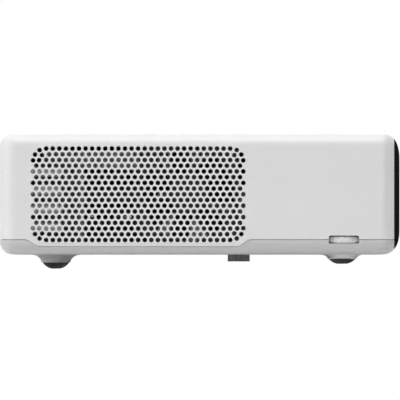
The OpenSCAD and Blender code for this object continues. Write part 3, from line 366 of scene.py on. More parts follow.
def cut_sheet(place, outline, holes=(), grid=None, creases=(), flip=False):
    """A sheet cut to an outline with holes, as Delaunay triangles in its plan, then carried on
    to place(u, v). A hole is (loop, lip, depth): its rim sinks by depth inside the lip's loop."""
    spots, edges, label, sink = [], [], [], []

    def add_loop(loop, mark, depth=0.0):
        start = sum(len(s) for s in spots)
        n = len(loop)
        spots.append(np.asarray(loop, float))
        label.append(np.full(n, mark))
        sink.append(np.full(n, depth))
        edges.extend((start + k, start + (k + 1) % n) for k in range(n))

    add_loop(outline, -1)
    for k, (loop, lip, depth) in enumerate(holes):
        add_loop(loop, k, depth)
        if lip is not None:
            add_loop(lip, -1)
    if grid is not None:
        rows, columns = grid
        mesh = np.stack(np.meshgrid(rows, columns, indexing="ij"), -1)
        flat = mesh.reshape(-1, 2)
        keep = inside(outline, flat)
        for loop, lip, _ in holes:
            ring = loop if lip is None else lip
            lo, hi = ring.min(0) - GRID_CLEAR, ring.max(0) + GRID_CLEAR
            keep &= ~((flat > lo) & (flat < hi)).all(1)
        start = sum(len(s) for s in spots)
        number = np.full(len(flat), -1)
        number[keep] = start + np.arange(keep.sum())
        spots.append(flat[keep])
        label.append(np.full(keep.sum(), -1))
        sink.append(np.zeros(keep.sum()))
        number = number.reshape(len(rows), len(columns))
        for j, column in enumerate(columns):
            if np.min(np.abs(np.asarray(creases) - column), initial=9) < 1e-6:
                run = number[:, j]
                both = (run[:-1] >= 0) & (run[1:] >= 0)
                edges.extend(zip(run[:-1][both].tolist(), run[1:][both].tolist()))
    spots, label, sink = np.concatenate(spots), np.concatenate(label), np.concatenate(sink)
    out = delaunay_2d_cdt([Vector(p) for p in spots], edges, [], 0, 1e-6, True)
    first = np.array([ids[0] if ids else -1 for ids in out[3]])
    flat = np.where(first[:, None] >= 0, spots[first], [tuple(p) for p in out[0]])
    mark = np.where(first >= 0, label[first], -1)
    deep = np.where(first >= 0, sink[first], 0.0)
    tris = np.array([f for f in out[2] if len(f) == 3])
    marks = mark[tris]
    in_hole = (marks[:, 0] >= 0) & (marks[:, 0] == marks[:, 1]) & (marks[:, 1] == marks[:, 2])
    middle = flat[tris].mean(1)
    for k, (loop, _, _) in enumerate(holes):
        if not convex(loop):
            mine = np.flatnonzero(in_hole & (marks[:, 0] == k))
            in_hole[mine] = inside(loop, middle[mine])
    tris = tris[~in_hole & inside(outline, middle)]
    normal = normals_of(place, flat[:, 0], flat[:, 1])
    if flip:
        tris, normal = tris[:, ::-1], -normal
    return place(flat[:, 0], flat[:, 1]) - deep[:, None] * normal, tris


def strip(upper, lower, closed=True):
    """A band of triangles between two rows of points of the same number."""
    n = len(upper)
    k = np.arange(n if closed else n - 1)
    j = (k + 1) % n
    tris = np.concatenate([np.stack([k, k + n, j + n], 1), np.stack([k, j + n, j], 1)])
    return np.concatenate([upper, lower]), tris


def weld(sheets, near=1e-4):
    """Joins sheets into one: points that round to the same cell, 5 near across, become one."""
    points = np.concatenate([p for p, _ in sheets])
    starts = np.cumsum([0] + [len(p) for p, _ in sheets[:-1]])
    tris = np.concatenate([t + s for (_, t), s in zip(sheets, starts)])
    keys, back = np.unique(np.round(points / near / 5).astype(np.int64), axis=0,
                           return_inverse=True)[0:2]
    back = back.reshape(-1)
    merged = np.zeros((len(keys), 3))
    merged[back] = points
    tris = back[tris]
    whole = (tris[:, 0] != tris[:, 1]) & (tris[:, 1] != tris[:, 2]) & (tris[:, 0] != tris[:, 2])
    return merged, tris[whole]


def point_normals(points, tris):
    """Each point's normal: the sum of its triangles' cross products, made unit length."""
    a, b, c = (points[tris[:, k]] for k in range(3))
    face = np.cross(b - a, c - a)
    total = np.zeros_like(points)
    for k in range(3):
        np.add.at(total, tris[:, k], face)
    return total / np.maximum(np.linalg.norm(total, axis=1, keepdims=True), 1e-12)


def thicken(points, tris, wall, flat=None):
    """Gives a sheet its wall: the same sheet again, in by the wall, and a rim on every open
    edge. Points marked as flat go straight in against one direction, past any hole's lip."""
    normals = point_normals(points, tris)
    if flat:
        normals[flat[0]] = flat[1]
    back = points - wall * normals
    n = len(points)
    sides = np.concatenate([tris[:, [0, 1]], tris[:, [1, 2]], tris[:, [2, 0]]])
    codes = sides.min(1).astype(np.int64) * n + sides.max(1)
    _, where, count = np.unique(codes, return_index=True, return_counts=True)
    rim = sides[where[count == 1]]
    a, b = rim[:, 0], rim[:, 1]
    walls = np.concatenate([np.stack([b, a, a + n], 1), np.stack([b, a + n, b + n], 1)])
    return np.concatenate([points, back]), np.concatenate([tris, tris[:, ::-1] + n, walls])


def round_row(centre, r, h, t, along_x=False):
    """Points at the turns t and the radius r round an upright axis, or round one along X."""
    a, b, c = centre[0] + r * np.cos(t), centre[1] + r * np.sin(t), 0 * t + h
    return np.stack([c, a, b] if along_x else [a, b, c], -1)


def carried(rows):
    """Bands between one closed row of points and the next."""
    return weld([strip(b, a) for a, b in zip(rows[:-1], rows[1:])])


def lathe(profile, centre, steps=64, along_x=False):
    """A profile of (r, h) carried round an upright axis, or round one along X. Ends on the axis
    are gathered to one point each."""
    t = full_turn(steps)
    return carried([round_row(centre, r, h, t, along_x) for r, h in profile])


def together(shells):
    """Several closed shells as one mesh."""
    starts = np.cumsum([0] + [len(p) for p, _ in shells[:-1]])
    return (np.concatenate([p for p, _ in shells]),
            np.concatenate([t + s for (_, t), s in zip(shells, starts)]))


def put(name, data):
    """A new object in the scene."""
    made = bpy.data.objects.new(name, data)
    bpy.context.collection.objects.link(made)
    return made


def as_piece(name, points, tris, finish, body, slot=None, sharp=28.0, stands_for=(), second=None):
    """A mesh piece, in metres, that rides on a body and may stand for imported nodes. A second
    finish comes with the test that says which triangles' middles it goes on."""
    mesh = bpy.data.meshes.new(name)
    mesh.vertices.add(len(points))
    mesh.vertices.foreach_set("co", (points * MM).astype(np.float32).ravel())
    mesh.loops.add(3 * len(tris))
    mesh.loops.foreach_set("vertex_index", tris.astype(np.int32).ravel())
    mesh.polygons.add(len(tris))
    mesh.polygons.foreach_set("loop_start", np.arange(0, 3 * len(tris), 3, dtype=np.int32))
    mesh.update(calc_edges=True)
    if second:
        chosen = second[1](points[tris].mean(1)).astype(np.int32)
        mesh.polygons.foreach_set("material_index", chosen)
    mesh.validate()
    mesh.shade_smooth()
    mesh.set_sharp_from_angle(angle=math.radians(sharp))
    for used in (finish, second[0]) if second else (finish,):
        mesh.materials.append(finishes[used])
    piece = put(name, mesh)
    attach(piece, body)
    if stands_for:
        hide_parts(*stands_for)
    return piece


# the side grille: staggered rows, with some of the outermost holes moved at the round corners
GRILLE_MIDDLE, GRILLE_PITCH, GRILLE_SIZE = (-43.1, 52.1), (4.6, 4.0), (33, 17)
HOLE_R, HOLE_LIP, HOLE_SIDES = 1.67, 0.09, 16
# holes that move: place from the row's end, row from the edge, step outwards, step to the middle
CORNER_MOVES = ((1, 0, 0, 1.05), (0, 1, 0.9, 0.15), (1, 1, 0.55, 0.6), (2, 1, 0.2, 0.05),
                (0, 2, 0, 0.25), (1, 2, 0.3, 0.13))


def grille_centres():
    """Each hole's X and Z. Beside the four corners a hole steps outwards and towards the middle
    row, to follow the round."""
    columns, rows = GRILLE_SIZE
    half_x, half_z = (columns - 1) / 2 * GRILLE_PITCH[0], (rows - 1) / 2 * GRILLE_PITCH[1]
    spots = []
    for row in range(rows):
        end, late = row in (0, rows - 1), row % 2
        last = columns - 1 - late
        col = np.arange(1 if end else 0, last + (0 if end else 1))
        x = (col + 0.5 * late) * GRILLE_PITCH[0] - half_x
        z = np.full(len(col), row * GRILLE_PITCH[1] - half_z)
        for c, r, out, down in CORNER_MOVES:
            here = (np.minimum(col, last - col) == c) & (min(row, rows - 1 - row) == r)
            x += here * np.sign(x) * out
            z -= here * np.sign(z) * down
        spots.append(np.stack([x, z], -1))
    return np.concatenate(spots) + GRILLE_MIDDLE


def side_stations(last):
    """Lengths along the side from the rear end to a last one, close on the corner and the
    parting line's dips."""
    return np.concatenate([np.linspace(A_REAR, REAR + REAR_CORNER, ARC_STEPS + 1),
                           np.linspace(*DIPS[0], 9), [-60.0, -10.0], np.linspace(*DIPS[1], 9),
                           [60.0, last]])


def seam_path(offset, over, window_side):
    """The parting line from rear to front at a small offset, with the foot wheel's window cut
    into it above (1) or below (-1)."""
    (wx0, wz0), (wx1, wz1) = WHEEL_WINDOW
    x = side_stations(88.0)
    first = np.stack([x, seam_height(station(x)) + offset], -1)
    turn, r = np.linspace(0, np.pi / 2, 5), WINDOW_CORNER
    cz = (wz1 if window_side > 0 else wz0) - window_side * r
    left = np.stack([wx0 + r - r * np.cos(turn), cz + window_side * r * np.sin(turn)], -1)
    right = np.stack([wx1 - r + r * np.sin(turn), cz + window_side * r * np.cos(turn)], -1)
    level = SEAM + offset
    notch = np.concatenate([[[wx0, level]], left, right, [[wx1, level]]])
    return np.concatenate([first, notch, [[120.0, level], [127.0, level], [over, level]]])


def unrolled(height, far):
    """The v of a height on a wall, near or far."""
    return V_FAR + V_HIGH - height if far else height


KEYPAD = ((-24.0, -98.0), (34.0, -2.0))
KEYPAD_CORNER, KEYPAD_DEPTH = 8.0, 1.0
TRIM, TRIM_CORNER = ((54.0, -71.0), (122.0, -5.0)), 12.0
TRAY_WINDOW, TRAY_CORNER = ((-112.0, 70.5), (16.0, 82.5)), 1.4
REAR_WINDOW, REAR_WINDOW_CORNER = ((-66.0, 26.0), (112.0, 68.0)), 4.0
SPEAKER_Y, SPEAKER_Z, SLOTS_R, SLOTS_SIDE = 134.3, 50.0, 15.0, 3
SLOT_PITCH, SLOT_W, SLOT_CORNER = 4.2, 2.0, 0.95
# the lips of openings: how wide, and how far the rim sinks
WIDE_RIM, SOFT_RIM, FINE_RIM = (0.4, 0.3), (0.35, 0.3), (0.3, 0.25)
VENT_RIM, SPEAKER_RIM, GROOVE_RIM, RING_SLOT_RIM = (0.25, 0.25), (0.2, 0.2), (0.3, 0.3), (0.4, 0.35)
ROUND_KEYS = ((14, -16, 6), (0, -16, 4.2), (-14, -16, 4.2), (0, -50, 6),
              (14, -84, 4.2), (0, -84, 4.2), (-14, -84, 4.2))
KEY_GAP, ARROW_R, ARROW_HALF, ARROWS_Y = 0.3, (8.6, 17.0), math.radians(40), -50.0
LIGHTS_X, LIGHTS_Y, LIGHT_R = 29.0, (-58.0, -50.0, -42.0), 1.4
LAMP_WINDOW, LAMP_CORNER = ((-88.0, -118.0), (-38.0, -68.0)), 3.0
# each foot's X and Y, its boss's radius at the case and at its end, that end's height, its bore
FEET = {"rear": (-101.9, 125.0, 17.5, 9.4, 4.4, 4.0),
        "front": (100.8, 151.8, 15.2, 9.2, 7.1, 5.1)}
PILLARS, PILLAR_R, PILLAR_TOP = ((-127.0, 156.5), (118.0, 112.0)), 5.0, 20.0
SCREW_WELL, SCREW_WELL_TOP = 3.3, 14.0
VENTS, VENTS_X, VENTS_Y = 12, (66.0, 112.0), 50.0
VENT_PITCH, VENT_HALF, VENT_CORNER = 6.0, 1.2, 1.15
MOUNT_X, MOUNT_Y, MOUNT_R, MOUNT_Z = (-102.4, 27.6), 60.0, 5.75, 5.1
MOUNT_BORE, MOUNT_BORE_TOP, MOUNT_TOP = 3.03, 15.5, 16.0
RIB_REACH, RIB_HALF, RIB_TOP = 7.7, 0.8, 10.6
TONGUE_IN, TONGUE_UP, TONGUE_DOWN, TONGUE_WALL = 1.7, 2.2, 3.2, 1.0
BY_CREASE, FLAT_STEP = 0.4, 12


def arrow_key(turn, grown):
    """A quarter of the ring of arrow keys, grown all round: an outer and an inner arc between
    two lines 80 degrees apart."""
    tip = -grown / math.sin(ARROW_HALF)
    arcs = []
    for r, way in ((ARROW_R[1] + grown, 1), (ARROW_R[0] - grown, -1)):
        s = -tip * math.cos(ARROW_HALF) + math.sqrt(r * r - (tip * math.sin(ARROW_HALF)) ** 2)
        most = math.atan2(s * math.sin(ARROW_HALF), tip + s * math.cos(ARROW_HALF))
        t = np.linspace(-most, most, 13)[::way] + turn
        arcs.append(np.stack([r * np.cos(t), ARROWS_Y + r * np.sin(t)], -1))
    return np.concatenate(arcs)


def on_top(loop):
    """A plan outline on the top, as a and v."""
    return np.stack([loop[:, 0], V_TOP + loop[:, 1] + HALF_WIDTH - EDGE_HIGH], -1)


def on_underside(loop):
    """A plan outline on the underside, as a and v. On the edge's quarter circle v follows the
    arc sine."""
    y = loop[:, 1]
    flat = HALF_WIDTH - EDGE_LOW
    over = np.clip((np.abs(y) - flat) / EDGE_LOW, 0, 1)
    v = V_UNDER - (np.clip(y, -flat, flat) + flat)
    v = v + np.where(y < 0, 1, -1) * EDGE_LOW * np.arcsin(over)
    return np.stack([loop[:, 0], v], -1)


def rimmed(low, high, r, lip, depth):
    """A cornered hole with a lip round it."""
    grown = rounded(np.array(low) - lip, np.array(high) + lip, r + lip)
    return rounded(low, high, r), grown, depth


def round_hole(centre, r, steps, lip=None, depth=0.0):
    """A round hole, with a lip round it or without."""
    return circle(centre, r, steps), lip and circle(centre, r + lip, steps), depth


def on_plan(hole, onto):
    """A hole carried onto another plan."""
    loop, lip, depth = hole
    return onto(loop), None if lip is None else onto(lip), depth


def rows_along(front):
    """The stations where a skin has points: close on the corner and the nose, wide between."""
    arc = A_REAR + REAR_ARC * np.arange(1, ARC_STEPS + 1) / ARC_STEPS
    nose = np.array([126.5, 127.0, 127.7, 128.4, 129.1, 129.7])
    return np.concatenate([arc, [REAR + REAR_CORNER + 0.4], np.arange(-120.0, 121.0, 12.0),
                           nose[nose < front - 0.2]])


def arc_columns(start, length, steps=10):
    """Columns over a quarter circle of the section."""
    return start + length * np.arange(steps + 1) / steps


def flat_columns(start, end):
    """Columns over a flat run of the section: one close to each end, the rest spread out."""
    way = 1 if end > start else -1
    return np.concatenate([[start + way * BY_CREASE],
                           np.linspace(start + way * FLAT_STEP, end - way * FLAT_STEP, 14),
                           [end - way * BY_CREASE]])


def outline_of(near_path, far_path, front_vs, rear_vs):
    """A skin's outline: the near path forwards, the front edge, the far path back, the rear
    edge."""
    front = np.stack([np.full(len(front_vs), near_path[-1, 0]), front_vs], -1)
    rear = np.stack([np.full(len(rear_vs), near_path[0, 0]), rear_vs[::-1]], -1)
    return np.concatenate([near_path, front, far_path[::-1], rear])


def rear_sheet(vs, holes):
    """The flat rear end, cut to the skin's own last section."""
    edge = on_section(np.full(len(vs), A_REAR), vs)
    grid = (np.linspace(-150, 150, 13), np.linspace(22, 82, 5))
    return cut_sheet(upright_plan(REAR, -1), edge[:, 1:] * (-1, 1), holes, grid)


def upper_skin():
    """The upper case and its side grille as one skin: the unrolled section cut at the parting
    line, the nose and every opening, with the keypad's pocket let in."""
    front = BEZEL_X - NOSE_JOINT
    near = seam_path(JOINT, front, 1)

    def to_far(loop):
        return np.stack([loop[:, 0], unrolled(loop[:, 1], True)], -1)
    walls = np.array([30.0, 50.0, 70.0, V_HIGH - BY_CREASE])
    arcs = np.concatenate([arc_columns(V_HIGH, HIGH_ARC), arc_columns(V_TOP_END, HIGH_ARC)])
    columns = np.sort(np.concatenate([walls, unrolled(walls, True),
                                      flat_columns(V_TOP, V_TOP_END), arcs]))
    outline = outline_of(near, to_far(near), columns, columns)
    holes = [round_hole(spot, HOLE_R, HOLE_SIDES, HOLE_LIP, HOLE_LIP) for spot in grille_centres()]
    holes.append(on_plan(rimmed(*TRAY_WINDOW, TRAY_CORNER, *SOFT_RIM),
                         lambda loop: to_far(loop)[::-1]))
    keypad = rimmed(*KEYPAD, KEYPAD_CORNER, *WIDE_RIM)
    holes += [on_plan(hole, on_top) for hole in (rimmed(*TRIM, TRIM_CORNER, *SOFT_RIM), keypad)]
    main = cut_sheet(on_section, outline, holes, (rows_along(front), columns), arcs)
    # the pocket's wall and floor
    pocket, _, depth = keypad
    floor_z = TOP - KEYPAD_DEPTH
    wall = strip(at_height(pocket, TOP - depth), at_height(pocket, floor_z))
    keys = [round_hole(k[:2], k[2] + KEY_GAP, 36) for k in ROUND_KEYS]
    keys += [(arrow_key(t, KEY_GAP), None, 0.0) for t in np.arange(4) * np.pi / 2]
    keys += [round_hole((LIGHTS_X, y), LIGHT_R, 16) for y in LIGHTS_Y]
    floor = cut_sheet(level_plan(floor_z), pocket, keys,
                      (np.linspace(-20, 30, 6), np.linspace(-92, -8, 8)))
    slots = []
    for side in (-1, 1):
        for k in range(-SLOTS_SIDE, SLOTS_SIDE + 1):
            y, h = k * SLOT_PITCH, math.sqrt(SLOTS_R ** 2 - (k * SLOT_PITCH) ** 2)
            middle = side * SPEAKER_Y + y
            slots.append(rimmed((middle - SLOT_W / 2, SPEAKER_Z - h),
                                (middle + SLOT_W / 2, SPEAKER_Z + h), SLOT_CORNER, *SPEAKER_RIM))
    (y0, z0), (y1, z1) = REAR_WINDOW
    slots.append(rimmed((-y1, z0), (-y0, z1), REAR_WINDOW_CORNER, *WIDE_RIM))
    ends = np.concatenate([[near[0, 1]], columns, [unrolled(near[0, 1], True)]])
    points, tris = weld([main, wall, floor, rear_sheet(ends, slots)])
    on_wall = points[:, 1] < 0.3 - HALF_WIDTH
    points, tris = thicken(points, tris, WALL, (on_wall, (0.0, -1.0, 0.0)))
    return as_piece("upper_skin", points, tris, "case_white", "case",
                    stands_for=("upper_case", "side_grille"))


def plan_on_skin(loop):
    """The skin's own points under a plan outline on the underside."""
    av = on_underside(loop)
    return on_section(av[:, 0], av[:, 1])


BOSS_SIDES = 64


def foot_boss(x, y, top_r, low_r, low_z, hole_r):
    """The hollow curve from the underside to a foot's pad: a quarter ellipse in r, while the
    height goes by a sine from the boss's flat end to the skin, and a flat ring at the end."""
    t = full_turn(BOSS_SIDES)
    rim = plan_on_skin(circle((x, y), top_r, BOSS_SIDES))
    rows = [rim]
    for turn in np.linspace(np.pi / 2, 0, 13)[1:]:
        r = top_r - (top_r - low_r) * math.cos(turn)
        rows.append(round_row((x, y), r, low_z + (rim[:, 2] - low_z) * math.sin(turn), t))
    rows += [round_row((x, y), r, z, t)
             for r, z in ((low_r - 0.3, low_z), (hole_r, low_z), (hole_r, low_z + 4.0))]
    return carried(rows[::-1])


def rounded_bar(low, high, r):
    """A box with its upright edges and its lower rim rounded: a cornered loop carried down and
    drawn in at the end. Both ends are gathered to a point in their middle."""
    (x0, y0, z0), (x1, y1, z1) = low, high
    rows = [at_height(rounded((x0 + d, y0 + d), (x1 - d, y1 - d), max(r - d, 0.05) + 0.1, 4), z)
            for z, d in ((z1, 0.0), (z0 + r, 0.0), (z0 + r * 0.3, r * 0.3), (z0, r))]
    top, end = (np.array([[(x0 + x1) / 2, (y0 + y1) / 2, z]] * len(rows[0])) for z in (z1, z0))
    return carried([end, *rows[::-1], top])


def tongue():
    """The lip of the lower case that stands behind the parting line: the skin again, further in,
    from below the line to above it, with a gap at the foot wheel's window."""
    def behind(a, v):
        return on_section(a, v) - TONGUE_IN * normals_of(on_section, a, v)
    sheets = []
    for run in (side_stations(86.0), np.array([116.0, 126.0])):
        for far in (False, True):
            height = seam_height(station(run))
            low, high = (unrolled(height + step, far) for step in (-TONGUE_DOWN, TONGUE_UP))
            points, tris = strip(behind(run, high), behind(run, low), False)
            sheets.append((points, tris[:, ::-1] if far else tris))
    y = np.linspace(HALF_WIDTH - REAR_CORNER, REAR_CORNER - HALF_WIDTH, 9)
    x = np.full(len(y), REAR + TONGUE_IN)
    sheets.append(strip(*(np.stack([x, y, 0 * y + SEAM + step], -1)
                          for step in (TONGUE_UP, -TONGUE_DOWN)), False))
    return thicken(*weld(sheets), TONGUE_WALL)


def lower_skin():
    """The lower case: the unrolled section below the parting line, with the feet's bosses, the
    mount bosses, the vents, the lamp window and the screw wells."""
    front = BEZEL_X - NOSE_JOINT
    near = seam_path(-JOINT, front, -1)
    far = near.copy()
    far[:, 1] = V_FAR_LOW + V_LOW - near[:, 1]
    arcs = np.concatenate([arc_columns(V_UNDER, LOW_ARC, 12),
                           arc_columns(V_FAR_LOW, LOW_ARC, 12)])
    columns = np.sort(np.concatenate([flat_columns(V_UNDER, V_UNDER_END), arcs]))
    outline = outline_of(far, near, columns, columns)
    plans, feet, solid = [], [], []
    for side in (-1, 1):
        for x, y, *boss in FEET.values():
            plans.append(round_hole((x, side * y), boss[0], BOSS_SIDES))
            feet.append(foot_boss(x, side * y, *boss))
        for x, y in PILLARS:
            plans.append(round_hole((x, side * y), SCREW_WELL, 24, *FINE_RIM))
            solid.append(lathe([(0.0, PILLAR_TOP), (PILLAR_R, PILLAR_TOP), (PILLAR_R, UNDER + 0.8),
                                (SCREW_WELL, UNDER + 0.8), (SCREW_WELL, SCREW_WELL_TOP),
                                (0.0, SCREW_WELL_TOP)], (x, side * y), 32))
        for x in MOUNT_X:
            y = side * MOUNT_Y
            plans.append(round_hole((x, y), MOUNT_R, 40))
            solid.append(lathe([(0.0, MOUNT_BORE_TOP), (MOUNT_BORE, MOUNT_BORE_TOP),
                                (MOUNT_BORE, MOUNT_Z + 0.2), (MOUNT_BORE + 0.17, MOUNT_Z),
                                (MOUNT_R - 0.3, MOUNT_Z), (MOUNT_R, MOUNT_Z + 0.3),
                                (MOUNT_R, MOUNT_TOP), (0.0, MOUNT_TOP)], (x, y)))
            for rx, ry in ((RIB_REACH, RIB_HALF), (RIB_HALF, RIB_REACH)):
                solid.append(rounded_bar((x - rx, y - ry, MOUNT_Z), (x + rx, y + ry, RIB_TOP), 0.4))
    plans.append(rimmed(*LAMP_WINDOW, LAMP_CORNER, *FINE_RIM))
    for k in range(VENTS):
        y = VENTS_Y + (k - (VENTS - 1) / 2) * VENT_PITCH
        plans.append(rimmed((VENTS_X[0], y - VENT_HALF), (VENTS_X[1], y + VENT_HALF), VENT_CORNER,
                            *VENT_RIM))
    holes = [on_plan(plan, lambda loop: on_underside(loop)[::-1]) for plan in plans]
    main = cut_sheet(on_section, outline, holes, (rows_along(front), columns), arcs)
    ends = np.concatenate([[far[0, 1]], columns, [near[0, 1]]])
    skin = thicken(*weld([main, rear_sheet(ends, ()), *feet]), WALL)
    # the lower case in case_grey, darkened as painted shade
    return as_piece("lower_skin", *together([skin, tongue(), *solid]), "case_grey", "case",
                    stands_for=("lower_case",),
                    # boss_white on whatever lies below the underside: painted light on the bosses and
                    # foot flares in the case's shade
                    second=("boss_white", lambda middle: middle[:, 2] < UNDER - 0.05))


# ---- the nose ----


def nose_stations(start, end, steps):
    """X at even turns of the nose's side curve, whose X follows the sine, from one X to another."""
    low, high = (math.asin((x - NOSE + NOSE_SIDE[0]) / NOSE_SIDE[0]) for x in (start, end))
    return NOSE - NOSE_SIDE[0] + NOSE_SIDE[0] * np.sin(np.linspace(low, high, steps))


CHAIN_LOW, CHAIN_HIGH, BY_JOINT = 15, 48, 0.24


def nose_loop(x, grown=0.0, groove=0.0):
    """The closed section at x, seen from the front and grown by a distance. One half is a chain
    of points from the underside's middle over the side to the top's middle, spaced evenly along
    the side, with two points on the parting line that sink by the groove. The other half is its
    mirror image."""
    side, top, under, shrink = (float(value) for value in insets(np.array(float(x))))
    half, zt, zb = HALF_WIDTH - side + grown, TOP - top + grown, UNDER + under - grown
    rt = max(EDGE_HIGH * shrink + grown, 0.3)
    rb = max(EDGE_LOW * shrink + grown, 0.3)
    quarter = np.linspace(0, np.pi / 2, 25)
    low = np.stack([half - rb + rb * np.sin(quarter), zb + rb - rb * np.cos(quarter)], -1)
    high = np.stack([half - rt + rt * np.cos(quarter), zt - rt + rt * np.sin(quarter)], -1)
    fine = np.concatenate([low, high])
    run = np.concatenate([[0], np.cumsum(np.linalg.norm(np.diff(fine, axis=0), axis=1))])
    seam = np.interp(SEAM, fine[:, 1], run)
    spots = np.concatenate([np.linspace(0, seam - BY_JOINT, CHAIN_LOW),
                            [seam - JOINT, seam + JOINT],
                            np.linspace(seam + BY_JOINT, run[-1], CHAIN_HIGH)])
    chain = np.stack([np.interp(spots, run, fine[:, k]) for k in (0, 1)], -1)
    chain[CHAIN_LOW:CHAIN_LOW + 2, 0] -= groove
    flat = np.linspace(0, 1, 9)[1:-1, None]
    under_run = np.array([0.0, zb]) + (chain[0] - np.array([0.0, zb])) * flat
    top_run = chain[-1] + (np.array([0.0, zt]) - chain[-1]) * flat
    right = np.concatenate([[[0.0, zb]], under_run, chain, top_run, [[0.0, zt]]])
    yz = np.concatenate([right, right[-2:0:-1] * (-1, 1)])
    return np.column_stack([np.full(len(yz), float(x)), yz])


# the white ring: its groove and wall, how its edges and lip come in, how far its tongue reaches
GROOVE, RING_WALL, EDGE_IN, LIP_IN, RING_TONGUE = 1.3, 2.7, 0.12, 2.2, 4.0


def bezel_skin():
    """The white ring between case and panel: the nose's sections carried forward, a turned-in
    front lip, and the same drawn in by the wall back to a tongue inside the case."""
    back, tongue_x = BEZEL_X + NOSE_JOINT, BEZEL_X - RING_TONGUE
    xs = nose_stations(back, PANEL_X - 0.1, 10)
    front = xs[-1] + 0.06
    loops = [nose_loop(xs[0], -EDGE_IN, GROOVE - 0.1), nose_loop(xs[0] + 0.08, 0.0, GROOVE),
             *(nose_loop(x, 0.0, GROOVE) for x in xs[1:]),
             nose_loop(front, -EDGE_IN, GROOVE - 0.1), nose_loop(front, -LIP_IN),
             nose_loop(tongue_x, -RING_WALL - 1.4), nose_loop(tongue_x, -RING_WALL),
             nose_loop(back, -RING_WALL)]
    points, tris = carried(loops + [loops[0]])
    # the ring below the parting line takes case_grey: painted shade, as on the lower case
    return as_piece("bezel_skin", points, tris, "case_white", "case",
                    stands_for=("front_bezel",),
                    second=("case_grey", lambda middle: middle[:, 2] < SEAM))


LENS_AXIS, LENS_HOLE_R, LENS_RIM = (-38.0, 51.0), 23.3, (0.5, 0.4)
IR_AT, IR_R, PANEL_WALL = (62.0, 52.0), 7.1, 2.0


def panel_skin():
    """The gloss front: the nose's last sections and a face with the lens and remote windows. The
    lens opening has to lie inside the flat face, or the cutter leaves it closed."""
    loops = [nose_loop(x) for x in nose_stations(PANEL_X + 0.1, NOSE, 16)]
    holes = [round_hole(LENS_AXIS, LENS_HOLE_R, 96, *LENS_RIM), round_hole(IR_AT, IR_R, 48, *FINE_RIM)]
    face = cut_sheet(upright_plan(NOSE), loops[-1][:, 1:], holes,
                     (np.linspace(-140, 140, 15), np.linspace(32, 72, 5)))
    points, tris = thicken(*weld([carried(loops), face]), PANEL_WALL)
    return as_piece("panel_skin", points, tris, "gloss_black", "case", stands_for=("front_panel",),
                    second=("edge_black", lambda middle: middle[:, 0] < NOSE - 0.001))


# ---- turned pieces: feet, foot wheels, the lens ----
PAD_R, SOLE_CUT = 8.5, 0.2
# each pad's top and height, and the radius and top of the hollow for its stem
REAR_PAD, FRONT_PAD = (4.4, 4.6, 3.9, 8.4), (6.95, 3.75, 4.98, 5.4)


def dome_profile(top, height, inner_r, inner_h):
    """A rubber dome's half section from the sole up: r = ball sin a, h = ball (1 - cos a), with
    a flat sole and a small round at the rim."""
    ball = (PAD_R ** 2 + height ** 2) / (2 * height)
    a = np.linspace(math.acos(1 - SOLE_CUT / ball), math.asin((PAD_R - 0.03) / ball), 16)
    cap = np.stack([ball * np.sin(a), top - height + ball * (1 - np.cos(a))], -1).tolist()
    return [(0.0, top - height + SOLE_CUT), *cap, (PAD_R - 0.05, top - 0.2), (PAD_R - 0.3, top),
            (inner_r, top), (inner_r, inner_h), (0.0, inner_h)]


def make_feet():
    """The rubber domes: two on the case, one on each front screw."""
    x, y = FEET["rear"][:2]
    pads = [lathe(dome_profile(*REAR_PAD), (x, side * y)) for side in (-1, 1)]
    as_piece("rear_pads", *together(pads), "foot_rubber", "case", stands_for=("rear_feet",))
    x, y = FEET["front"][:2]
    for hand, side in (("right", -1), ("left", 1)):
        as_piece(hand + "_pad", *lathe(dome_profile(*FRONT_PAD), (x, side * y)), "foot_rubber",
                 hand + "_foot", stands_for=(hand + "_foot_pad",))


WHEEL_R, WHEEL_MIDDLE, WHEEL_HALF, WHEEL_RIBS = 17.9, 20.2, 2.45, 60
WHEEL_BORE, WHEEL_HUB, WHEEL_FALL, WHEEL_RIB, WHEEL_FADE = 5.06, 14.0, 1.5, 0.34, 0.6
RIB_POINTS = 8


def ribs_round(count):
    """The turns of a ribbed circle, and the ribs there as a squared cosine, 1 at their tops."""
    t = full_turn(count * RIB_POINTS)
    return t, np.cos(count * t / 2) ** 2


def foot_wheel(hand, side):
    """A foot's wheel: its rim falls back by the fourth power of the height from its middle, and
    its soft ribs, a squared cosine, fade towards both edges."""
    t, rib = ribs_round(WHEEL_RIBS)
    low, high = WHEEL_MIDDLE - WHEEL_HALF, WHEEL_MIDDLE + WHEEL_HALF
    profile = [(WHEEL_BORE, low), (WHEEL_HUB, low)]
    for u in np.sin(np.linspace(-np.pi / 2, np.pi / 2, 15)):
        valley = WHEEL_RIB * (1 - WHEEL_FADE * u ** 2) * (1 - rib)
        profile.append((WHEEL_R - WHEEL_FALL * u ** 4 - valley, WHEEL_MIDDLE + WHEEL_HALF * u))
    profile += [(WHEEL_HUB, high), (WHEEL_BORE, high), (WHEEL_BORE, low)]
    middle = (FEET["front"][0], side * FEET["front"][1])
    points, tris = carried([round_row(middle, r, z, t) for r, z in profile])
    as_piece(hand + "_wheel_rim", points, tris, "case_white", hand + "_wheel", sharp=50.0,
             stands_for=(hand + "_thumbwheel",))


STEM_Z, STEM_R, THREAD_PITCH, THREAD_DEPTH, RUN_OUT = (5.4, 40.0), 4.98, 1.5, 0.42, 2.5


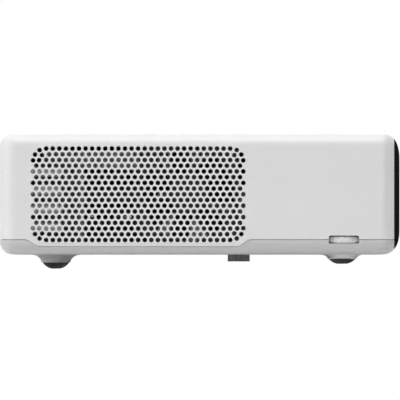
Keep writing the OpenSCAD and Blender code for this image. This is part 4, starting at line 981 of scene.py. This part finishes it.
def foot_screw(hand, side):
    """A foot's threaded stem: its radius dips by a triangle wave of height less turn, which
    fades out towards both ends."""
    t = full_turn(36)
    low, high = STEM_Z
    profile = [(0.0, low), (4.2, low)]
    for z in np.arange(low + 0.6, high - 0.6, THREAD_PITCH / 6):
        wave = np.abs(((z / THREAD_PITCH - t / (2 * np.pi)) % 1.0) * 2 - 1)
        near_end = min(1.0, (z - low) / RUN_OUT, (high - z) / RUN_OUT)
        profile.append((STEM_R - THREAD_DEPTH * wave * near_end - 0.5 * (1 - near_end), z))
    profile += [(4.0, high), (0.0, high)]
    middle = (FEET["front"][0], side * FEET["front"][1])
    points, tris = carried([round_row(middle, r, z, t) for r, z in profile])
    as_piece(hand + "_screw", points, tris, "screw_steel", hand + "_foot",
             stands_for=(hand + "_foot_stem",))


def bulged(middle, edge, r, bulge, steps=28):
    """A lens: two sphere caps on a short rim, from its rear pole to its front pole."""
    ball = (r * r + bulge * bulge) / (2 * bulge)
    a = np.linspace(0, math.asin(r / ball), steps)
    back = [(ball * math.sin(k), middle - edge / 2 - bulge + ball * (1 - math.cos(k))) for k in a]
    fore = [(ball * math.sin(k), middle + edge / 2 + bulge - ball * (1 - math.cos(k))) for k in a]
    return back + fore[::-1]


# the funnel: its mouth as radius and X, how far it goes in and narrows, and its steps
FUNNEL_MOUTH, FUNNEL_IN, FUNNEL_STEPS, TREAD, TREAD_DIP = (25.4, 139.4), (3.0, 15.4), 13, 0.82, 0.36


def make_lens():
    """The funnel with its fine dark steps, both glasses, and the focus cell's ribbed mouth. Every
    profile is a list of radius and X."""
    funnel = []
    for k in range(FUNNEL_STEPS):
        start, edge, end = (n / FUNNEL_STEPS for n in (k, k + TREAD, k + 1))
        for t, dip in ((start, 0.0), (edge, 0.0), (edge, TREAD_DIP), (end, TREAD_DIP)):
            funnel.append((FUNNEL_MOUTH[0] - FUNNEL_IN[0] * t + dip,
                           FUNNEL_MOUTH[1] - FUNNEL_IN[1] * t))
    loop = [(21.4, 120.0), (23.4, 120.0), (26.2, 132.6), (29.0, 132.6), (29.0, 134.2),
            (27.0, 134.2), (27.0, 139.4), (26.7, 139.7), (25.7, 139.7), *funnel, (22.4, 124.0),
            (21.4, 120.0)]
    as_piece("lens_funnel", *lathe(loop, LENS_AXIS, 128, True), "lens_black", "case",
             stands_for=("lens_surround",))
    for name, cell, steps, shape in (("front", "focus", 96, (112.6, 8.0, 15.95, 3.0)),
                                     ("zoom", "zoom", 72, (68.2, 6.0, 14.95, 2.0))):
        as_piece(name + "_glass", *lathe(bulged(*shape), LENS_AXIS, steps, True), "lens_glass",
                 cell + "_group", stands_for=(name + "_lens",))
    ridges = []
    for x in np.arange(121.4, 117.4, -0.8):
        ridges += [(16.5, x), (16.1, x - 0.4)]
    loop = [(14.0, 100.0), (18.0, 100.0), (18.0, 121.6), (17.6, 122.0), (16.9, 122.0),
            *ridges, (16.0, 117.0), (16.0, 103.0), (14.0, 103.0), (14.0, 100.0)]
    as_piece("focus_mouth", *lathe(loop, LENS_AXIS, 128, True), "lens_black", "focus_group",
             stands_for=("focus_cell",))


RING_R, RING_BORE, RING_RIBS = 31.0, 21.05, 60
# a ring's rims: how far below its ribs they start, their round, and the span they take up
RIM_DOWN, RIM_ROUND, RIM_SPAN = 1.6, 0.4, 1.3
# its ribs: the band's depth, what the band and the ribs rise by, how soon they are at full height
BAND_DOWN, BAND_UP, RIBS_UP, RIBS_SOON = 1.2, 0.3, 0.9, 8


def ring_grip(name, x0, x1):
    """A lens ring: ribs, a squared cosine round its axis, that fade to a plain round at both
    ends, between two rounded rims."""
    t, rib = ribs_round(RING_RIBS)

    def rim(x, way):
        return [(RING_R - RIM_DOWN + RIM_ROUND * math.sin(turn),
                 x + way * RIM_ROUND * (1 - math.cos(turn)))
                for turn in np.linspace(0, np.pi / 2, 4)[::way]]
    profile = [(RING_BORE, x0), *rim(x0, 1)]
    for u in np.linspace(0, 1, 13):
        lift = min(1.0, RIBS_SOON * u, RIBS_SOON * (1 - u))
        profile.append((RING_R - BAND_DOWN + lift * (BAND_UP + RIBS_UP * rib),
                        x0 + RIM_SPAN + (x1 - x0 - 2 * RIM_SPAN) * u))
    profile += [*rim(x1, -1), (RING_BORE, x1), (RING_BORE, x0)]
    points, tris = carried([round_row(LENS_AXIS, r, x, t, True) for r, x in profile])
    as_piece(name + "_grip", points, tris, "ring_grey", name, sharp=50.0, stands_for=(name,))


# ---- the finger well of the two rings ----
WELL, WELL_CORNER = ((63.7, -61.3), (114.3, -14.7)), 4.6
WELL_FLOOR, WELL_WALL, TRIM_TOP = 78.0, 1.4, 94.2
PLATE_GAP, PLATE_SIDE, PLATE_ROUND = 0.2, 2.2, 0.5
MOUTH_ROUND, WALL_DRAFT, FLOOR_ROUND = 1.6, 0.5, 2.0
RING_SPANS, SLOT_HALF = ((70.0, 84.0), (92.0, 108.0)), 19.5
RING_SLOT_GAP, RING_SLOT_CORNER = 0.6, 1.2


def make_well():
    """The trim plate and the well in one sheet: cornered loops carried in from the plate's edge,
    over the mouth's round, down the drafted wall and a quarter circle into a floor with two
    slots. The plate's edge and the mouth are quarter circles too."""
    def row(outline, r, inset, z):
        (x0, y0), (x1, y1) = outline
        return at_height(rounded((x0 + inset, y0 + inset), (x1 - inset, y1 - inset), r - inset, 8), z)
    turns = [(1 - math.cos(t), math.sin(t)) for t in np.linspace(0, np.pi / 2, 6)]
    rows = [row(TRIM, TRIM_CORNER, PLATE_GAP, TRIM_TOP - PLATE_SIDE)]
    rows += [row(TRIM, TRIM_CORNER, PLATE_GAP + PLATE_ROUND * fall,
                 TRIM_TOP - PLATE_ROUND + PLATE_ROUND * rise) for fall, rise in turns]
    rows += [row(WELL, WELL_CORNER, -MOUTH_ROUND + MOUTH_ROUND * rise,
                 TRIM_TOP - MOUTH_ROUND * fall) for fall, rise in turns]
    rows += [row(WELL, WELL_CORNER, WALL_DRAFT + FLOOR_ROUND * fall,
                 WELL_FLOOR + FLOOR_ROUND * (1 - rise)) for fall, rise in turns]
    slots = [rimmed((x0 - RING_SLOT_GAP, LENS_AXIS[0] - SLOT_HALF),
                    (x1 + RING_SLOT_GAP, LENS_AXIS[0] + SLOT_HALF), RING_SLOT_CORNER,
                    *RING_SLOT_RIM) for x0, x1 in RING_SPANS]
    floor = cut_sheet(level_plan(WELL_FLOOR), rows[-1][:, :2], slots)
    points, tris = thicken(*weld([carried(rows), floor]), WELL_WALL)
    as_piece("well_trim", points, tris, "case_grey", "case", stands_for=("ring_well",))


# ---- the keys ----
KEY_TOP, KEY_SOLE, KEY_STEM_Z, KEY_STEM_R = 94.2, (90.2, 91.4), 89.7, 1.6
KEY_FLANGE, KEY_ROUND, BOWL_EDGE, BOWL_DEEP = 1.1, 0.5, 0.7, 0.3
ARROW_STEM_AT, ARROW_STEM_TOP = 13, 90.6
# an arrow key's edge: how far it is drawn in, and how far below its top
ARROW_EDGE = ((0.0, 0.45), (0.06, 0.2), (0.2, 0.06), (0.45, 0.0))
ROUND_NAMES = ("power", "source", "menu", "enter", "play", "stop", "eject")
ARROW_NAMES = ("up", "left", "down", "right")


def round_cap(r):
    """A round key's profile: a stem, a flange, a quarter circle at its edge, and a bowl in its
    top that deepens by the square."""
    low, high = KEY_SOLE
    profile = [(0.0, KEY_STEM_Z), (KEY_STEM_R, KEY_STEM_Z), (KEY_STEM_R, low),
               (r + KEY_FLANGE, low), (r + KEY_FLANGE, high), (r, high)]
    profile += [(r - KEY_ROUND + KEY_ROUND * math.cos(t), KEY_TOP - KEY_ROUND + KEY_ROUND * math.sin(t))
                for t in np.linspace(0, np.pi / 2, 6)]
    return profile + [((r - BOWL_EDGE) * s, KEY_TOP - BOWL_DEEP * (1 - s * s))
                      for s in np.linspace(1, 0, 8)]


def arrow_cap(turn):
    """An arrow key: its outline carried up and drawn in by steps, a flat at both ends, a stem."""
    rows = [at_height(arrow_key(turn, 0.0), KEY_SOLE[0])]
    rows += [at_height(arrow_key(turn, -inset), KEY_TOP - down) for inset, down in ARROW_EDGE]
    ends = [cut_sheet(level_plan(rows[k][0, 2]), rows[k][:, :2], flip=k == 0) for k in (0, -1)]
    stem = [(0.0, KEY_STEM_Z), (KEY_STEM_R, KEY_STEM_Z), (KEY_STEM_R, ARROW_STEM_TOP),
            (0.0, ARROW_STEM_TOP)]
    at = (ARROW_STEM_AT * math.cos(turn), ARROWS_Y + ARROW_STEM_AT * math.sin(turn))
    return together([weld([*ends, carried(rows)]), lathe(stem, at, 24)])


def make_keys():
    """The key caps."""
    caps = [lathe(round_cap(r), (x, y), 64) for x, y, r in ROUND_KEYS]
    caps += [arrow_cap(k * np.pi / 2) for k in range(len(ARROW_NAMES))]
    for name, cap in zip(ROUND_NAMES + ARROW_NAMES, caps):
        as_piece(name + "_cap", *cap, "button_grey", name + "_button",
                 stands_for=(name + "_button",))


# ---- behind the grille and below the case ----
SINK_X, SINK_Y, SINK_Z = (-119.5, -80.5), (-163.0, -133.0), (12.5, 75.0)
SINK_PLATE, SINK_UPRIGHT, SINK_GAP = 4, 4.5, 4.2
FIN_END, FIN_LOW, FIN_PITCH, FIN_T, FIN_OUT, FINS = -96.5, 25.2, 13.0, 7.6, 2.2, 4
# a bar's end: the distance from it, and what its outline shrinks to there
BAR_ENDS = ((0.0, 0.0), (0.0, 0.97), (0.3, 1.0))


def soft_bar(low, high, power, along_x):
    """A bar along X or Z: its end outline is a superellipse, whose cosine and sine are both raised
    to the power, and is carried from end to end and drawn in a little at each."""
    t = full_turn(32)
    (x0, y0, z0), (x1, y1, z1) = low, high
    (a0, a1), (c0, c1) = ((z0, z1), (x0, x1)) if along_x else ((x0, x1), (z0, z1))
    mid_a, mid_b = (a0 + a1) / 2, (y0 + y1) / 2

    def swing(wave):
        return np.sign(wave) * np.abs(wave) ** power
    a = mid_a + (a1 - a0) / 2 * swing(np.cos(t))
    b = mid_b + (y1 - y0) / 2 * swing(np.sin(t))
    ends = [(c0 + d, shrink) for d, shrink in BAR_ENDS]
    ends += [(c1 - d, shrink) for d, shrink in BAR_ENDS[::-1]]
    rows = []
    for c, shrink in ends:
        across, deep, level = mid_a + (a - mid_a) * shrink, mid_b + (b - mid_b) * shrink, 0 * t + c
        rows.append(np.stack([level, deep, across] if along_x else [across, deep, level], -1))
    return carried(rows[::-1] if along_x else rows)


def make_sink():
    """The heat sink: a plate and an upright at its end, darkened as painted shade between the fins, and
    fins across it, lightened as painted light.
    """
    (x0, x1), (y0, y1), (z0, z1) = SINK_X, SINK_Y, SINK_Z
    plate = soft_bar((x0, y1 - SINK_PLATE, z0), (x1, y1, z1), 0.12, False)
    upright = soft_bar((x1 - SINK_UPRIGHT, y0, z0), (x1, y1 - SINK_GAP, z1), 0.2, False)
    fins = [soft_bar((x0, y0 - FIN_OUT, FIN_LOW + FIN_PITCH * k),
                     (FIN_END, y1 - SINK_GAP, FIN_LOW + FIN_PITCH * k + FIN_T), 0.5, True)
            for k in range(FINS)]
    as_piece("sink_plate", *together([plate, upright]), "sink_dark", "case", "engine_metal",
             stands_for=("heat_sink",))
    as_piece("sink_fins", *together(fins), "fin_bright", "case", "engine_metal")


DOOR_SCREW = (-46.0, -93.0)
# sets of screws: their places, head radius and height, stem radius and tip, stem up (1) or down
SCREWS = (([(x, side * y) for x, y in PILLARS for side in (-1, 1)], 3.0, UNDER + 2.2, 1.45, 34.4, 1),
          ([DOOR_SCREW], 3.1, UNDER + 0.2, 1.45, 16.6, 1),
          ([(x, y) for x in (-116.0, 20.0) for y in (58.0, 150.0)], 2.6, 68.5, 1.2, 75.6, 1),
          ([(x, y) for x in (-24.0, 34.0) for y in (-98.0, -2.0)], 2.6, 82.5, 1.2, 89.6, 1),
          ([(x, y) for x in (-118.0, -88.0) for y in (24.0, 28.0)], 2.6, 65.1, 1.2, 58.0, -1))
ARM_HALF, ARM_REACH = 0.16, 0.62


def cross_screw(place, head_r, head_z, tip_r, tip_z, facing):
    """A screw from its driven face to its tip: a domed head with a four-armed recess and a stem.
    The recess reaches as far as an arm's half width over the smaller of sine and cosine, between
    two limits. Heights count from the face."""
    t = full_turn(48)
    arm = np.minimum(np.abs(np.sin(t)), np.abs(np.cos(t)))
    reach = np.clip(ARM_HALF * head_r / np.maximum(arm, 1e-3), ARM_HALF * head_r,
                    ARM_REACH * head_r)
    profile = [(0.0, 0.75), (0.72 * reach, 0.7), (reach, 0.04),
               (np.maximum(reach + 0.05, 0.78 * head_r), 0.08), (0.95 * head_r, 0.25),
               (head_r, 0.5), (head_r, 1.5), (tip_r, 1.6)]
    profile = [(r, head_z + facing * h) for r, h in profile]
    profile += [(tip_r, tip_z), (0.0, tip_z + facing * 0.4)]
    return carried([round_row(place, r, z, facing * t) for r, z in profile])


def make_screws():
    """Every screw of the case, the drive and the boards, in one piece as in the part."""
    screws = [cross_screw(place, *sizes) for places, *sizes in SCREWS for place in places]
    as_piece("screw_set", *together(screws), "screw_steel", "case", stands_for=("case_screws",))


DOOR, DOOR_CORNER, DOOR_SKIN, DOOR_BACK = ((-87.7, -117.7), (-38.3, -68.3)), 2.7, 1.6, (1.7, 0.9)
GRIPS, GRIP_AT, GRIP_SIZE, GRIP_PITCH, GRIP_CORNER = 4, (-80.0, -101.0), (18.0, 1.6), 5, 0.75
DOOR_SINK_R, DOOR_SINK_RIM, DOOR_HOLE_R = 3.6, (0.4, 0.3), 1.7


def make_lamp_door():
    """The lamp door: a flush plate, four grip grooves and a countersink for its screw, a backing
    plate and two bars."""
    loop = rounded(*DOOR, DOOR_CORNER, 6)
    x0, y0 = GRIP_AT
    holes = []
    for k in range(GRIPS):
        y = y0 + GRIP_PITCH * k
        holes.append(rimmed((x0, y), (x0 + GRIP_SIZE[0], y + GRIP_SIZE[1]), GRIP_CORNER, *GROOVE_RIM))
    holes.append(round_hole(DOOR_SCREW, DOOR_SINK_R, 32, *DOOR_SINK_RIM))
    skin = cut_sheet(level_plan(UNDER), loop, holes,
                     (np.linspace(-84, -42, 5), np.linspace(-114, -72, 5)), flip=True)
    up, wall = DOOR_BACK
    back = cut_sheet(level_plan(UNDER + up), loop, [round_hole(DOOR_SCREW, DOOR_HOLE_R, 24)],
                     flip=True)
    bars = [rounded_bar((-84.0, y - 1, UNDER + 2.2), (-42.0, y + 1, UNDER + 6), 0.3)
            for y in (-110.0, -76.0)]
    as_piece("lamp_door", *together([thicken(*skin, DOOR_SKIN), thicken(*back, wall), *bars]),
             "case_grey", "case", stands_for=("lamp_cover",))


upper_skin()
lower_skin()
bezel_skin()
panel_skin()
make_feet()
for hand, side in (("right", -1), ("left", 1)):
    foot_wheel(hand, side)
    foot_screw(hand, side)
make_lens()
for name, (x0, x1) in zip(("zoom_ring", "focus_ring"), RING_SPANS):
    ring_grip(name, x0, x1)
make_well()
make_keys()
make_sink()
make_lamp_door()
make_screws()


# ---- floor, light and camera ----
REAR_SOLE, FRONT_SOLE = (FEET["rear"][0] * MM, 0.0), (FEET["front"][0] * MM, 3.4 * MM)
FLOOR_REACH, FLOOR_GREY, FLOOR_ROUGH = 2.2, 0.86, 0.9
CAMERA_LIFT, AMBIENT = 0.42, 0.20


def seen_directly(tree):
    """1 for camera, glossy and transmission rays, 0 for the diffuse rays that light things."""
    path = tree.nodes.new("ShaderNodeLightPath")
    seen = path.outputs["Is Camera Ray"]
    for other in ("Is Glossy Ray", "Is Transmission Ray"):
        most = new_node(tree, "ShaderNodeMath", feeds={0: seen, 1: path.outputs[other]})
        most.operation = "MAXIMUM"
        seen = most.outputs[0]
    return seen


def camera_white(tree, shadowed, out):
    """Adds a little white for camera, glossy and transmission rays, so the floor reads white,
    also in gloss and through glass, and keeps its shadow. Diffuse rays get none of it."""
    lift = new_node(tree, "ShaderNodeMath", {1: CAMERA_LIFT}, {0: seen_directly(tree)})
    lift.operation = "MULTIPLY"
    glow = new_node(tree, "ShaderNodeEmission", {"Color": (1, 1, 1, 1)},
                    {"Strength": lift.outputs[0]})
    both = new_node(tree, "ShaderNodeAddShader", feeds={0: shadowed, 1: glow.outputs[0]})
    tree.links.new(both.outputs[0], out)


def make_floor():
    """A plain pale disc through the soles of all four feet: height is a straight line in X."""
    slope = (FRONT_SOLE[1] - REAR_SOLE[1]) / (FRONT_SOLE[0] - REAR_SOLE[0])
    turns = full_turn(96)
    x, y = FLOOR_REACH * np.cos(turns), FLOOR_REACH * np.sin(turns)
    z = REAR_SOLE[1] + slope * (x - REAR_SOLE[0])
    mesh = bpy.data.meshes.new("floor")
    mesh.from_pydata(np.stack([x, y, z], 1).tolist(), [], [list(range(len(turns)))])
    made, tree, shader = tree_of("floor_pale")
    fill(shader, {"Base Color": (FLOOR_GREY, FLOOR_GREY, FLOOR_GREY, 1),
                  "Roughness": FLOOR_ROUGH, "Specular IOR Level": 0.0})
    camera_white(tree, shader.outputs[0], tree.nodes["Material Output"].inputs["Surface"])
    mesh.materials.append(made)
    floor = put("floor", mesh)


def aim(thing, at, target):
    """Stands a lamp or camera at a place, facing a point."""
    thing.location = at
    thing.rotation_mode = "QUATERNION"
    thing.rotation_quaternion = (Vector(target) - Vector(at)).to_track_quat("-Z", "Y")


def soft_light(name, at, size, power):
    """A square soft box at a place, facing the case."""
    lamp = bpy.data.lights.new(name, "AREA")
    lamp.shape = "SQUARE"
    lamp.size = size
    lamp.energy = power
    aim(put(name, lamp), at, LIT_POINT)


def make_world():
    """White to the camera and in gloss and glass, and a dimmer even light on the object."""
    world = bpy.data.worlds.new("studio")
    bpy.context.scene.world = world
    world.use_nodes = True
    tree = world.node_tree
    back = tree.nodes["Background"]
    fill(back, {"Color": (1, 1, 1, 1)})
    level = new_node(tree, "ShaderNodeMapRange", {"To Min": AMBIENT, "To Max": 1.0},
                     {"Value": seen_directly(tree)})
    tree.links.new(level.outputs["Result"], back.inputs["Strength"])


# the photograph's frame: 400 px across, 0.70 mm a pixel at the near side of the case
PIXEL = 0.70 * MM
FRAME_WIDTH = 400 * PIXEL
SENSOR = 36.0
NEAR_SIDE = -HALF_WIDTH * MM
DISTANCE, CLIP = 13.2, (1.0, 60.0)
FRAME_MIDDLE = Vector((0.25 * PIXEL, NEAR_SIDE, 48.1 * MM))
EYE_HEIGHT = 4 * MM
LIT_POINT = (0, 0, 0.05)
# each lamp's place, size and power
LAMPS = {"overhead": ((0.0, -0.5, 1.9), 2.0, 22), "high_front": ((0.0, -1.2, 2.2), 1.0, 15),
         "rear_end": ((-2.4, -0.9, 0.7), 1.6, 22), "far_fill": ((0.4, 2.6, 0.9), 2.2, 18)}


def make_camera():
    """A long lens, straight on to the side, low enough that the floor is seen edge on."""
    data = bpy.data.cameras.new("camera")
    data.sensor_width = SENSOR
    data.lens = SENSOR * DISTANCE / FRAME_WIDTH
    data.clip_start, data.clip_end = CLIP
    camera = put("camera", data)
    aim(camera, (FRAME_MIDDLE.x, NEAR_SIDE - DISTANCE, EYE_HEIGHT), FRAME_MIDDLE)
    bpy.context.scene.camera = camera


make_floor()
make_world()
for name, (at, size, power) in LAMPS.items():
    soft_light(name, at, size, power)
make_camera()
bpy.context.scene.view_settings.view_transform = "Standard"
